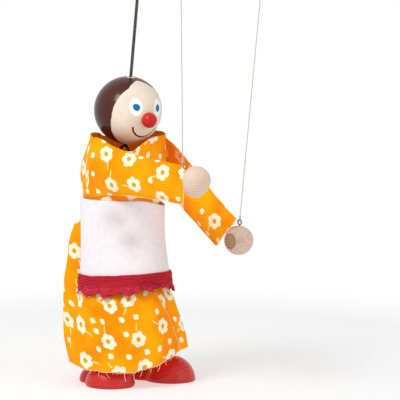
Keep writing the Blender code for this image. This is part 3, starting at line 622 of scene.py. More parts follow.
@dataclass(frozen=True)
class PrintedCotton(Finish):
    """Plain-woven cotton printed with six-petal flowers, dots and short stems, which can also glow with
    painted light.
    """

    name: str
    ground: Colour
    shade: Colour
    ink: Colour
    heart: Colour
    sprig: Colour
    flower_spacing: float = 21.0 * MM
    flower_radius: float = 3.75 * MM
    petal_depth: float = 1.35 * MM
    heart_radius: float = 1.5 * MM
    dot_spacing: float = 11.0 * MM
    dot_radius: float = 1.65 * MM
    dot_clearance: float = 8.0 * MM
    flower_scatter: float = 0.5
    stem_start: float = 5.6 * MM
    stem_end: float = 9.6 * MM
    stem_half_width: float = 0.52 * MM
    thread: float = 0.42 * MM
    raw_width: float = 0.55 * MM
    # painted light: how strongly the cloth glows with its own colour
    glow: float = 0.0

    def coat(self, paint: Paint) -> None:
        """Add the cotton's nodes.

        Args:
            paint: The material's paint.
        """
        paint.base(0.86, specular=0.1)
        cut = paint.cut()
        wobble = paint.grain(cut, 420.0, 2.0) - 0.5
        flower, stem, distance = self.flowers(paint, cut, wobble)
        dot = self.dots(paint, cut, wobble)
        raw = 1 - paint.attribute("raw_edge").step(0.4 * self.raw_width, self.raw_width)
        cloud = paint.grain(cut, 48.0, 2.0).step(0.3, 0.7)
        ground = paint.mix(cloud, self.ground, self.shade)
        printed = paint.mix(flower.most(dot), paint.mix(stem, ground, self.sprig), self.ink)
        heart = (self.heart_radius + wobble * 0.4 * MM - distance).step(-0.12 * MM, 0.12 * MM)
        printed = paint.mix(heart, printed, self.heart)
        cloth = paint.mix(raw, printed, self.ink)
        paint.set("Base Color", cloth)
        # painted light: the cloth glows with its own colour, lightening the insides that lie in shade
        if self.glow:
            paint.set("Emission Color", cloth)
            paint.set("Emission Strength", self.glow)
        x, y, _ = paint.parts(cut)
        pitch = 2 * math.pi / self.thread
        weave = (x * pitch).sine() * (y * pitch).sine()
        slub = paint.grain(paint.vector("MULTIPLY", cut, (1.0, 0.06, 1.0)), 1600.0, 2.0)
        paint.set("Roughness", 0.8 + slub * 0.15)
        paint.bump(weave * 0.5 + slub * 0.6, 0.09 * MM, 0.6)

    def flowers(self, paint: Paint, cut: Value, wobble: Value) -> tuple[Value, Value, Value]:
        """Draw the flowers and their stems.

        Args:
            paint: The material's paint.
            cut: The cloth's flat coordinates.
            wobble: Noise that roughens the outline.

        Returns:
            The flowers, the stems, and the distance from the nearest flower's middle.
        """
        cells = paint.vector("SCALE", cut, scale=1 / self.flower_spacing)
        middle = paint.cells(cells, self.flower_scatter, "Position")
        chance = paint.parts(paint.cells(cells, self.flower_scatter, "Color"))
        local = paint.vector("SCALE", paint.vector("SUBTRACT", cells, middle), scale=self.flower_spacing)
        x, y, _ = paint.parts(local)
        distance = (x * x + y * y) ** 0.5
        turn = y.bearing(x) + chance[0] * (2 * math.pi)
        edge = abs((turn * 3.0).cosine()) ** 0.6 * self.petal_depth + self.flower_radius + wobble * MM
        flower = (edge - distance).step(-0.14 * MM, 0.14 * MM)
        heading = chance[1] * (2 * math.pi)
        ahead = x * heading.cosine() + y * heading.sine()
        aside = y * heading.cosine() - x * heading.sine()
        bend = (ahead - self.stem_start) * (ahead - self.stem_start) * 60.0
        width = self.stem_half_width - (ahead - self.stem_start) * 0.04
        stem = (width - abs(aside - bend)).step(-0.12 * MM, 0.12 * MM)
        stem = stem * ahead.step(self.stem_start - 0.3 * MM, self.stem_start)
        stem = stem * (1 - ahead.step(self.stem_end, self.stem_end + 0.3 * MM))
        return flower, stem, distance

    def dots(self, paint: Paint, cut: Value, wobble: Value) -> Value:
        """Draw the squarish dots that keep clear of the flowers.

        Args:
            paint: The material's paint.
            cut: The cloth's flat coordinates.
            wobble: Noise that roughens the outline.

        Returns:
            The dots.
        """
        cells = paint.vector("SCALE", cut, scale=1 / self.dot_spacing)
        middle = paint.cells(cells, 0.55, "Position")
        local = paint.vector("SCALE", paint.vector("SUBTRACT", cells, middle), scale=self.dot_spacing / MM)
        x, y, _ = paint.parts(local)
        reach = (abs(x) ** 3.0 + abs(y) ** 3.0) ** (1 / 3)
        seat = paint.vector("SCALE", middle, scale=self.dot_spacing / self.flower_spacing)
        clear = paint.cells(seat, self.flower_scatter, "Distance") - self.dot_clearance / self.flower_spacing
        return (self.dot_radius / MM + wobble * 0.8 - reach).step(-0.14, 0.14) * clear.step(0.0, 0.001)


@dataclass(frozen=True)
class FeltFinish(Finish):
    """Pressed white felt with loose fibres, and painted shade in two soft grey patches below the near sleeve.
    """

    name: str = "white_felt"
    colour: Colour = (0.84, 0.80, 0.825)
    shade: Colour = (0.76, 0.71, 0.74)
    # painted shade: the grey of two soft patches below the near sleeve, their two middles, their reach and
    # their strength
    worn: Colour = (0.50, 0.44, 0.46)
    worn_top: tuple[float, float, float] = (-22.0 * MM, -12.0 * MM, 105.0 * MM)
    worn_low: tuple[float, float, float] = (-15.5 * MM, -18.5 * MM, 90.0 * MM)
    worn_reach: float = 13.5 * MM
    worn_depth: float = 0.62

    def coat(self, paint: Paint) -> None:
        """Add the felt's nodes.

        Args:
            paint: The material's paint.
        """
        paint.base(0.95, specular=0.1)
        cut = paint.cut()
        fibre = paint.grain(cut, 1500.0, 4.0)
        tuft = paint.grain(cut, 300.0, 3.0)
        clean = paint.mix((fibre * 0.5 + tuft * 0.5).step(0.35, 0.75), self.colour, self.shade)
        # painted shade: two soft grey patches darken the felt below the near sleeve
        near = []
        for spot in (self.worn_top, self.worn_low):
            away = paint.vector("DISTANCE", paint.place(), STAND.at(*spot), output="Value")
            near.append(1 - away / self.worn_reach)
        worn = near[0].most(near[1]).step(0.0, 1.0) * paint.grain(cut, 110.0, 3.0).step(0.1, 0.75)
        paint.set("Base Color", paint.mix(worn * self.worn_depth, clean, self.worn))
        paint.set("Roughness", 0.9 + fibre * 0.1)
        paint.bump(fibre * 0.6 + tuft * 0.5, 0.22 * MM, 0.6)


@dataclass(frozen=True)
class BraidFinish(Finish):
    """Crimson gathered braid with ribs along it, with painted shade in the grooves and painted highlights on
    the ridges.
    """

    name: str
    colour: Colour = (0.67, 0.015, 0.034)
    # painted highlight colour on the ribs' ridges
    light: Colour = (0.90, 0.085, 0.13)
    # painted shade colour in the grooves between the ribs
    deep: Colour = (0.25, 0.003, 0.010)
    rib: float = 0.85 * MM

    def coat(self, paint: Paint) -> None:
        """Add the braid's nodes.

        Args:
            paint: The material's paint.
        """
        paint.base(0.78, specular=0.12)
        cut = paint.cut()
        x, y, _ = paint.parts(cut)
        drift = paint.grain(paint.vector("MULTIPLY", cut, (0.35, 1.0, 1.0)), 380.0, 2.0) - 0.5
        drift = drift * (0.7 * self.rib)
        rib = ((y + drift) * (2 * math.pi / self.rib)).sine() * 0.5 + 0.5
        twist = ((x * 0.8 + y * 1.2) * (2 * math.pi / (0.9 * MM))).sine() * 0.5 + 0.5
        cloud = paint.grain(cut, 260.0, 3.0)
        # painted shade: the grooves between the ribs take the deep colour
        base = paint.mix(rib.step(0.05, 0.8), self.deep, self.colour)
        # painted highlight: the light colour lies on the ridges where they meet the twist, and also in random
        # patches
        shine = (rib * twist * 0.7 + cloud * 0.6 - 0.25).step(0.1, 0.9)
        paint.set("Base Color", paint.mix(shine, base, self.light))
        paint.set("Roughness", 0.7 + cloud * 0.2)
        paint.bump(rib * 0.7 + twist * rib * 0.35, 0.22 * MM, 0.8)


@dataclass(frozen=True)
class CordFinish(Finish):
    """Twisted cotton or waxed thread, on the cord's own length and turn, with painted shade in the grooves of
    the twist.
    """

    name: str
    colour: Colour
    # painted shade colour in the twist's grooves
    deep: Colour
    pitch: float
    roughness: float = 0.8

    def coat(self, paint: Paint) -> None:
        """Add the cord's nodes.

        Args:
            paint: The material's paint.
        """
        paint.base(self.roughness, specular=0.3)
        paint.set("Sheen Weight", 0.1)
        cut = paint.cut()
        x, y, _ = paint.parts(cut)
        twist = (x * (2 * math.pi / self.pitch) + y * (2 * math.pi)).sine() * 0.5 + 0.5
        fibre = paint.grain(paint.vector("MULTIPLY", cut, (1.0, 0.02, 1.0)), 2400.0, 2.0)
        # painted shade: the deep colour falls where the bump is low, in the twist's grooves, mixed with fibre
        # noise
        paint.set("Base Color", paint.mix((twist * 0.6 + fibre * 0.4).step(0.1, 0.8), self.deep, self.colour))
        paint.bump(twist * 0.6 + fibre * 0.4, 0.1 * MM, 0.6)


COTTON = PrintedCotton("orange_cotton", (1.0, 0.405, 0.001), (0.97, 0.255, 0.0), (0.96, 0.86, 0.61),
                       (0.72, 0.34, 0.02), (1.0, 0.72, 0.22))
# the inside and the lining glow with painted light
COTTON_INSIDE = PrintedCotton("orange_cotton_inside", (1.0, 0.33, 0.004), (0.95, 0.26, 0.002),
                              (1.0, 0.52, 0.27), (0.90, 0.26, 0.02), (1.0, 0.42, 0.10), glow=0.2)
COTTON_LINING = PrintedCotton("orange_cotton_lining", (1.0, 0.33, 0.004), (0.95, 0.26, 0.002),
                              (1.0, 0.39, 0.05), (0.92, 0.28, 0.01), (1.0, 0.36, 0.03), glow=0.06)
FELT = FeltFinish()
# each braid's light and deep colours are its painted ridge highlight and groove shade
BRAID = BraidFinish("red_trim")
RUFFLE_BRAID = BraidFinish("red_ruffle", (0.63, 0.013, 0.034), (0.95, 0.11, 0.18), (0.26, 0.003, 0.012))
STEEL = WireFinish()
BROWN_STEEL = WireFinish("brown_steel", (0.30, 0.14, 0.06), (0.42, 0.23, 0.11), metallic=0.3)
# each cord's second colour is its painted shade in the twist's grooves
WHITE_CORD = CordFinish("white_cord", (0.76, 0.71, 0.61), (0.50, 0.45, 0.37), 3.4 * MM)
THREAD = CordFinish("grey_thread", (0.56, 0.55, 0.53), (0.40, 0.39, 0.38), 1.2 * MM, 0.55)
RAW_THREAD = CordFinish("raw_thread", (1.0, 0.86, 0.62), (1.0, 0.72, 0.36), 1.0 * MM, 0.85)
PALE = (0.72, 0.52, 0.34)
PALE_DARK = (0.50, 0.31, 0.16)


# Meshes

def as_object(name: str, mesh: Mesh, *materials: Material) -> Object:
    """Put a mesh in the scene with its materials.

    Args:
        name: The object's name.
        mesh: Its mesh.
        materials: What the mesh is painted with.

    Returns:
        The object.
    """
    made = bpy.data.objects.new(name, mesh)
    bpy.context.scene.collection.objects.link(made)
    for material in materials:
        mesh.materials.append(material)
    return made


def settle(made: Object) -> Object:
    """Apply every modifier of an object to its mesh, and shade it smooth.

    Args:
        made: The object.

    Returns:
        The same object.
    """
    bpy.context.view_layer.update()
    graph = bpy.context.evaluated_depsgraph_get()
    mesh = bpy.data.meshes.new_from_object(made.evaluated_get(graph))
    made.modifiers.clear()
    old = made.data
    made.data = mesh
    mesh.name = made.name
    bpy.data.meshes.remove(old)
    mesh.shade_smooth()
    return made


def solid(name: str, shape: BMesh, sharp: float = math.pi) -> Mesh:
    """Turn a shape's faces out and make a mesh of it, smooth up to an angle.

    Args:
        name: The mesh's name.
        shape: The shape, which is freed.
        sharp: The angle from which an edge stays sharp.

    Returns:
        The mesh.
    """
    bmesh.ops.recalc_face_normals(shape, faces=shape.faces)
    mesh = bpy.data.meshes.new(name)
    shape.to_mesh(mesh)
    shape.free()
    mesh.shade_smooth()
    if sharp < math.pi:
        mesh.set_sharp_from_angle(angle=sharp)
    return mesh


def join(shape: BMesh, lower: list[Any], upper: list[Any]) -> list[BMFace]:
    """Join two rings of vertices, either of which can be a single point, with faces.

    Args:
        shape: The shape that holds the vertices.
        lower: One ring.
        upper: The next ring.

    Returns:
        The faces, in order round the rings.
    """
    count = max(len(lower), len(upper))
    faces = []
    for step in range(count):
        after = (step + 1) % count
        corners = [lower[step % len(lower)], lower[after % len(lower)],
                   upper[after % len(upper)], upper[step % len(upper)]]
        faces.append(shape.faces.new(list(dict.fromkeys(corners))))
    return faces


def arc(radius: float, start: float, end: float, rings: int) -> list[tuple[float, float]]:
    """Give a ball's profile between two turns from its lower pole."""
    turns = [start + (end - start) * step / rings for step in range(rings + 1)]
    return [(radius * math.sin(turn), -radius * math.cos(turn)) for turn in turns]


def lathe(name: str, profile: Sequence[tuple[float, float]], centre: Vector, axis: Vector,
          segments: int = 64) -> Mesh:
    """Turn a profile about an axis.

    Args:
        name: The mesh's name.
        profile: Pairs of radius and height, from one end to the other; ends off the axis join in a bore.
        centre: The origin of the heights.
        axis: The direction of the heights.
        segments: How many steps round the axis.

    Returns:
        The turned mesh, with its faces out.
    """
    place = Matrix.Translation(centre) @ Vector((0, 0, 1)).rotation_difference(axis).to_matrix().to_4x4()
    turns = [2 * math.pi * step / segments for step in range(segments)]
    shape = bmesh.new()
    rings = []
    for radius, height in profile:
        spots = [Vector((radius * math.cos(turn), radius * math.sin(turn), height)) for turn in turns]
        rings.append([shape.verts.new(place @ spot) for spot in (spots if radius else spots[:1])])
    pairs = list(zip(rings, rings[1:]))
    if len(rings[0]) > 1:
        pairs.append((rings[-1], rings[0]))
    for lower, upper in pairs:
        join(shape, lower, upper)
    return solid(name, shape, SHARP)


def tube(name: str, points: Sequence[Vector], radii: Sequence[float], sides: int = 10, lobes: int = 0,
         pitch: float = 1.0, lobe_depth: float = 0.0, closed: bool = False) -> Mesh:
    """Sweep a round or lobed section along points, with a UV map of length and turn.

    Args:
        name: The mesh's name.
        points: The centreline.
        radii: The radius at each point.
        sides: Points round the section.
        lobes: How many strands show round the section.
        pitch: The length in which the strands turn once.
        lobe_depth: How deep the strands are cut, as a share of the radius.
        closed: Whether the last point joins the first.

    Returns:
        The swept mesh.
    """
    count = len(points)
    shape = bmesh.new()
    layer = shape.loops.layers.uv.new("cut")
    rings, places, length = [], [], 0.0
    side = None
    for index, point in enumerate(points):
        before = points[(index - 1) % count] if closed or index else point
        after = points[(index + 1) % count] if closed or index < count - 1 else point
        way = (after - before).normalized()
        side = square_to(side or Vector((0.31, 0.52, 0.17)).cross(way), way)
        high = way.cross(side)
        if index:
            length += (point - points[index - 1]).length
        ring = []
        for step in range(sides):
            turn = 2 * math.pi * step / sides
            reach = radii[index] * (1 + lobe_depth * math.cos(lobes * turn - 2 * math.pi * length / pitch))
            spot = point + side * reach * math.cos(turn) + high * reach * math.sin(turn)
            ring.append(shape.verts.new(spot))
        rings.append(ring)
        places.append(length)
    for index in range(count if closed else count - 1):
        lower, upper = rings[index], rings[(index + 1) % count]
        start, end = places[index], places[(index + 1) % count]
        for step, face in enumerate(join(shape, lower, upper)):
            corners = ((start, step), (start, step + 1), (end, step + 1), (end, step))
            for loop, (along, turned) in zip(face.loops, corners):
                loop[layer].uv = (along, turned / sides)
    if not closed:
        shape.faces.new(rings[0])
        shape.faces.new(rings[-1])
    return solid(name, shape)


def spaced(points: Sequence[Vector], spacing: float) -> list[Vector]:
    """Read a smooth curve through points at an even spacing.

    Args:
        points: What the curve goes through.
        spacing: The distance from one place to the next.

    Returns:
        The places.
    """
    ends = [points[0] * 2 - points[1], *points, points[-1] * 2 - points[-2]]
    route = [points[0].copy()]
    for before, start, end, after in zip(ends, ends[1:], ends[2:], ends[3:]):
        steps = max(1, round((end - start).length / spacing))
        for step in range(1, steps + 1):
            t = step / steps
            square = 2 * before - 5 * start + 4 * end - after
            cube = 3 * start - before - 3 * end + after
            route.append(0.5 * (2 * start + (end - before) * t + square * t ** 2 + cube * t ** 3))
    return route


@dataclass
class Cloth:
    """A sheet of cloth drawn as a grid: a place for each share across and down it."""

    name: str
    place: Callable[[float, float], Vector]
    inside: Callable[[Vector], Vector]
    rows: int
    columns: int
    closed: bool = False
    wall: float = 0.45 * MM
    raw_sides: str = ""
    print_start: float = 0.5
    print_level: float = 0.0
    print_shift: tuple[float, float] = (0.5, 0.3)
    missing: Callable[[float, float], bool] = lambda across, down: False
    flat: tuple[float, float] = field(init=False)
    area: float = field(init=False, default=0.0)

    def build(self, outer: Material, inner: Material) -> Object:
        """Make the sheet.

        Args:
            outer: The material of the right side.
            inner: The material of the wrong side.

        Returns:
            The sheet's object, with its wall.
        """
        shape = bmesh.new()
        layer = shape.loops.layers.uv.new("cut")
        raw = shape.verts.layers.float.new("raw_edge")
        spots = [[self.place(column / self.columns, row / self.rows) for column in range(self.columns + 1)]
                 for row in range(self.rows + 1)]
        cut = self.flatten(spots)
        grid = []
        for row, line in enumerate(spots):
            grid.append([])
            for column, spot in enumerate(line[:-1] if self.closed else line):
                vertex = shape.verts.new(spot)
                vertex[raw] = self.to_edge(column / self.columns, row / self.rows)
                grid[-1].append(vertex)
        for row in range(self.rows):
            for column in range(self.columns):
                if self.missing((column + 0.5) / self.columns, (row + 0.5) / self.rows):
                    continue
                after = (column + 1) % len(grid[0])
                upper, lower = grid[row], grid[row + 1]
                face = shape.faces.new((upper[column], upper[after], lower[after], lower[column]))
                corners = ((column, row), (column + 1, row), (column + 1, row + 1), (column, row + 1))
                for loop, (x, y) in zip(face.loops, corners):
                    loop[layer].uv = cut[y][x]
        loose = [vertex for vertex in shape.verts if not vertex.link_faces]
        bmesh.ops.delete(shape, geom=loose, context="VERTS")
        shape.normal_update()
        self.area = sum(face.calc_area() for face in shape.faces)
        facing = sum(face.normal.dot(face.calc_center_median() - self.inside(face.calc_center_median()))
                     for face in shape.faces)
        if facing < 0:
            bmesh.ops.reverse_faces(shape, faces=shape.faces)
        mesh = bpy.data.meshes.new(self.name)
        shape.to_mesh(mesh)
        shape.free()
        made = as_object(self.name, mesh, outer, inner)
        wall = made.modifiers.new("wall", "SOLIDIFY")
        wall.thickness = self.wall
        wall.offset = -1.0
        wall.material_offset = 1
        wall.material_offset_rim = 0
        return settle(made)

    def flatten(self, spots: list[list[Vector]]) -> list[list[tuple[float, float]]]:
        """Lay the sheet flat by its true lengths from one column and one row, and note its flat size.

        Args:
            spots: The grid's places, row by row.

        Returns:
            The flat place of each.
        """
        first, level = round(self.print_start * self.columns), round(self.print_level * self.rows)
        across, down = [], [[0.0] * (self.columns + 1)]
        for row, line in enumerate(spots):
            runs = [0.0]
            for before, after in zip(line, line[1:]):
                runs.append(runs[-1] + (after - before).length)
            across.append(runs)
            if row:
                gaps = [(spot - above).length for spot, above in zip(line, spots[row - 1])]
                down.append([drop + gap for drop, gap in zip(down[-1], gaps)])
        self.flat = (max(runs[-1] for runs in across), max(down[-1]))
        right, up = self.print_shift
        return [[(right + run - runs[first], up + drop - datum)
                 for run, drop, datum in zip(runs, drops, down[level])]
                for runs, drops in zip(across, down)]

    def to_edge(self, across: float, down: float) -> float:
        """Give the distance on the flat cloth to its nearest raw edge.

        Args:
            across: Share of the way across it.
            down: Share of the way down it.

        Returns:
            The distance.
        """
        gaps = {"top": down * self.flat[1], "bottom": (1 - down) * self.flat[1],
                "start": across * self.flat[0], "end": (1 - across) * self.flat[0]}
        return min([gap for side, gap in gaps.items() if side in self.raw_sides], default=1.0)

    def edge(self, side: str, count: int = 200) -> list[Vector]:
        """Give points along one edge of the sheet.

        Args:
            side: The edge: top, bottom, start or end.
            count: How many steps it is cut into.

        Returns:
            The points, from one end to the other.
        """
        shares = [step / count for step in range(count + 1)]
        if side in ("top", "bottom"):
            return [self.place(share, float(side == "bottom")) for share in shares]
        return [self.place(float(side == "end"), share) for share in shares]


# What repeats along an edge

class EdgeWork(Enum):
    """What a tree lays along a line."""

    FRAY = "frayed threads"
    STITCH = "stitches"


@dataclass
class Trimming:
    """Threads or stitches laid along a line by Geometry Nodes."""

    work: EdgeWork
    spacing: float
    length: float
    thickness: float
    seed: int
    curl: float = 0.35
    lean: float = 0.45
    shortest: float = 0.15

    def tree(self, material: Material) -> NodeTree:
        """Build the node tree, which lays the work along a line.

        Args:
            material: What the work is painted with.

        Returns:
            The tree, whose inputs are the line, the spacing, the length and the thickness.
        """
        tree = bpy.data.node_groups.new(self.work.value.replace(" ", "_"), "GeometryNodeTree")
        tree.interface.new_socket("Line", in_out="INPUT", socket_type="NodeSocketGeometry")
        for name in ("Spacing", "Length", "Thickness"):
            tree.interface.new_socket(name, in_out="INPUT", socket_type="NodeSocketFloat")
        tree.interface.new_socket("Threads", in_out="OUTPUT", socket_type="NodeSocketGeometry")
        nodes = Nodes(tree)
        line, spacing, length, thickness = nodes.add("NodeGroupInput", {}, {})[:4]
        curve = nodes.node("GeometryNodeMeshToCurve", {}, {0: line})
        even = nodes.node("GeometryNodeResampleCurve", {"mode": "LENGTH"},
                          {"Curve": curve, "Length": spacing})
        points, *_, rotation = nodes.add("GeometryNodeCurveToPoints", {"mode": "EVALUATED"}, {"Curve": even})
        if self.work is EdgeWork.FRAY:
            laid = self.thread(nodes, length, thickness)
        else:
            laid = {"Instance": self.stitch(nodes, length, thickness), "Rotation": rotation}
        spread = nodes.node("GeometryNodeInstanceOnPoints", {}, {"Points": points, **laid})
        real = nodes.node("GeometryNodeRealizeInstances", {}, {0: spread})
        painted = nodes.node("GeometryNodeSetMaterial", {}, {"Geometry": real, "Material": material})
        nodes.add("NodeGroupOutput", {}, {0: painted})
        return tree

    def thread(self, nodes: Nodes, length: Value, thickness: Value) -> dict[str, Value]:
        """Add a bent loose thread.

        Args:
            nodes: The tree.
            length: The longest thread's length.
            thickness: The thread's radius.

        Returns:
            The thread with its random turn and scale, by the names of the inputs that take them.
        """
        middle = nodes.node("ShaderNodeCombineXYZ", {}, {"Z": length * -0.5})
        tip = nodes.node("ShaderNodeCombineXYZ", {}, {"X": length * self.curl, "Z": length * -1.0})
        bend = nodes.node("GeometryNodeCurveQuadraticBezier", {},
                          {"Resolution": 5, "Start": Vector(), "Middle": middle, "End": tip})
        section = nodes.node("GeometryNodeCurvePrimitiveCircle", {}, {"Resolution": 4, "Radius": thickness})
        thread = nodes.node("GeometryNodeCurveToMesh", {},
                            {"Curve": bend, "Profile Curve": section, "Fill Caps": True})
        turn = nodes.node("FunctionNodeRandomValue", {"data_type": "FLOAT_VECTOR"},
                          {0: (-self.lean, -self.lean, 0.0), 1: (self.lean, self.lean, 2 * math.pi),
                           "Seed": self.seed})
        size = nodes.node("FunctionNodeRandomValue", {"data_type": "FLOAT"},
                          {2: self.shortest, 3: 1.0, "Seed": self.seed + 7}, 1)
        return {"Instance": thread, "Rotation": turn, "Scale": size}

    @staticmethod
    def stitch(nodes: Nodes, length: Value, thickness: Value) -> Value:
        """Add a short stitch that lies along the line.

        Args:
            nodes: The tree.
            length: The stitch's length.
            thickness: The stitch's radius.

        Returns:
            The stitch.
        """
        bead = nodes.node("GeometryNodeMeshUVSphere", {}, {"Segments": 6, "Rings": 5, "Radius": 1.0})
        size = nodes.node("ShaderNodeCombineXYZ", {}, {"X": thickness, "Y": thickness, "Z": length * 0.5})
        return nodes.node("GeometryNodeTransform", {}, {"Geometry": bead, "Scale": size})

    def build(self, name: str, line: Sequence[Vector], material: Material) -> Object:
        """Lay the work along a line, as one plain mesh.

        Args:
            name: The piece's name.
            line: Points of the line.
            material: What the work is painted with.

        Returns:
            The piece.
        """
        mesh = bpy.data.meshes.new(name)
        mesh.from_pydata(line, [(index, index + 1) for index in range(len(line) - 1)], [])
        made = as_object(name, mesh)
        change = made.modifiers.new("work", "NODES")
        change.node_group = self.tree(material)
        values = {"Spacing": self.spacing, "Length": self.length, "Thickness": self.thickness}
        for item in change.node_group.interface.items_tree:
            if item.name in values:
                change[item.identifier] = values[item.name]
        return settle(made)


# Sub-assemblies

@dataclass
class Control:
    """The finishes of the wooden control, the torso block and the head wire."""

    wood: WoodFinish = WoodFinish("pale_wood", PALE, PALE_DARK, (0.03, 0.0, 0.004), (0.0, 1.0, 0.0),
                                  ring=2.2 * MM)
    cross_wood: WoodFinish = WoodFinish("pale_wood_across", PALE, PALE_DARK, (0.0, -0.075, -0.03),
                                        (1.0, 0.0, 0.0), ring=2.2 * MM)
    peg_wood: WoodFinish = WoodFinish("end_grain", (0.56, 0.36, 0.20), (0.36, 0.20, 0.10),
                                      (0.001, -0.084, 0.0), (0.0, 0.0, 1.0), ring=0.8 * MM)

    def dress(self) -> None:
        """Give the CAD nodes their finishes."""
        finishes = {"control_bar": self.wood, "control_crossbar": self.cross_wood,
                    "crossbar_peg": self.peg_wood, "torso_block": self.wood, "head_wire": STEEL}
        for node, finish in finishes.items():
            data = frame["nodes"][node].data
            data.materials.clear()
            data.materials.append(finish.material)


def add_piece(made: Object, body: str, slot: str, *nodes: str) -> Object:
    """Let a finished piece ride on a body and stand for CAD nodes.

    Args:
        made: The finished piece.
        body: The body that it moves with.
        slot: Not used.
        nodes: The CAD nodes that it stands for.

    Returns:
        The piece.
    """
    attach(made, body)
    if nodes:
        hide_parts(*nodes)
    LOG.info("%s rides on %s", made.name, body)
    return made


@dataclass
class ScrewEye:
    """A screw eye of bent wire that stands on a seat."""

    name: str
    body: str
    seat: Vector
    axis: Vector
    normal: Vector
    radius: float
    wire: float
    lift: float = 0.3 * MM
    finish: WireFinish = STEEL
    bend_start: float = -80.0
    bend_sweep: float = 350.0
    bend_steps: int = 32

    def build(self) -> Object:
        """Make the ring, its neck and its shank, and stand it for its CAD node.

        Returns:
            The piece.
        """
        across = self.axis.cross(self.normal).normalized()
        centre = self.seat + self.axis * (self.lift + self.wire + self.radius)
        points = [self.seat - self.axis * self.radius, self.seat]
        for step in range(self.bend_steps + 1):
            turn = math.radians(self.bend_start + self.bend_sweep * step / self.bend_steps)
            points.append(centre + (across * math.cos(turn) + self.axis * math.sin(turn)) * self.radius)
        mesh = tube(self.name, points, [self.wire] * len(points), sides=12)
        made = as_object(self.name + "_bent", mesh, self.finish.material)
        return add_piece(made, self.body, "steel", self.name)


@dataclass
class Head:
    """The turned head with its paint, its nose and its neck eye."""

    radius: float = 21.0 * MM
    bore: float = 1.3 * MM
    bore_depth: float = 0.8
    nose_radius: float = 4.75 * MM
    nose_standoff: float = 1.6 * MM
    nose_tip: float = 1.03
    yaw: float = math.radians(-8.0)
    nod: float = math.radians(3.5)
    neck_eye_radius: float = 3.2 * MM
    neck_eye_wire: float = 0.8 * MM
    nose_paint: GlossPaint = GlossPaint("red_paint", (0.60, 0.014, 0.018), (0.46, 0.008, 0.012), 0.36)

    def build(self) -> None:
        """Make the ball, the nose and the neck eye."""
        centre, up = pivot("head_turn"), axis_of("head_turn")
        level = square_to(Vector((math.sin(self.yaw), -math.cos(self.yaw), 0.0)), up)
        forward = level * math.cos(self.nod) - up * math.sin(self.nod)
        first = math.asin(self.bore / self.radius)
        deep = self.radius * self.bore_depth
        profile = [(self.bore, -deep), *arc(self.radius, first, math.pi - first, 72), (self.bore, deep)]
        face = FacePaint(centre, up, forward.cross(up.cross(level)), forward, self.radius)
        ball = as_object("head", lathe("head", profile, centre, up, 112), face.material)
        add_piece(ball, "head", "face_paint", "head_ball")
        seat = centre + forward * (self.radius + self.nose_standoff)
        curve = arc(self.nose_radius, 0.0, math.pi, 32)[1:-1]
        profile = [(0.0, -self.nose_radius), *curve, (0.0, self.nose_radius * self.nose_tip)]
        nose = as_object("nose", lathe("nose", profile, seat, forward, 48), self.nose_paint.material)
        add_piece(nose, "head", "red_paint", "nose_peg")
        seat = Vector((0.0, STAND.axis_y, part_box("torso_block")[1][2]))
        ScrewEye("neck_eye", "torso", seat, Vector((0, 0, 1)), Vector((0, 1, 0)), self.neck_eye_radius,
                 self.neck_eye_wire, finish=BROWN_STEEL).build()


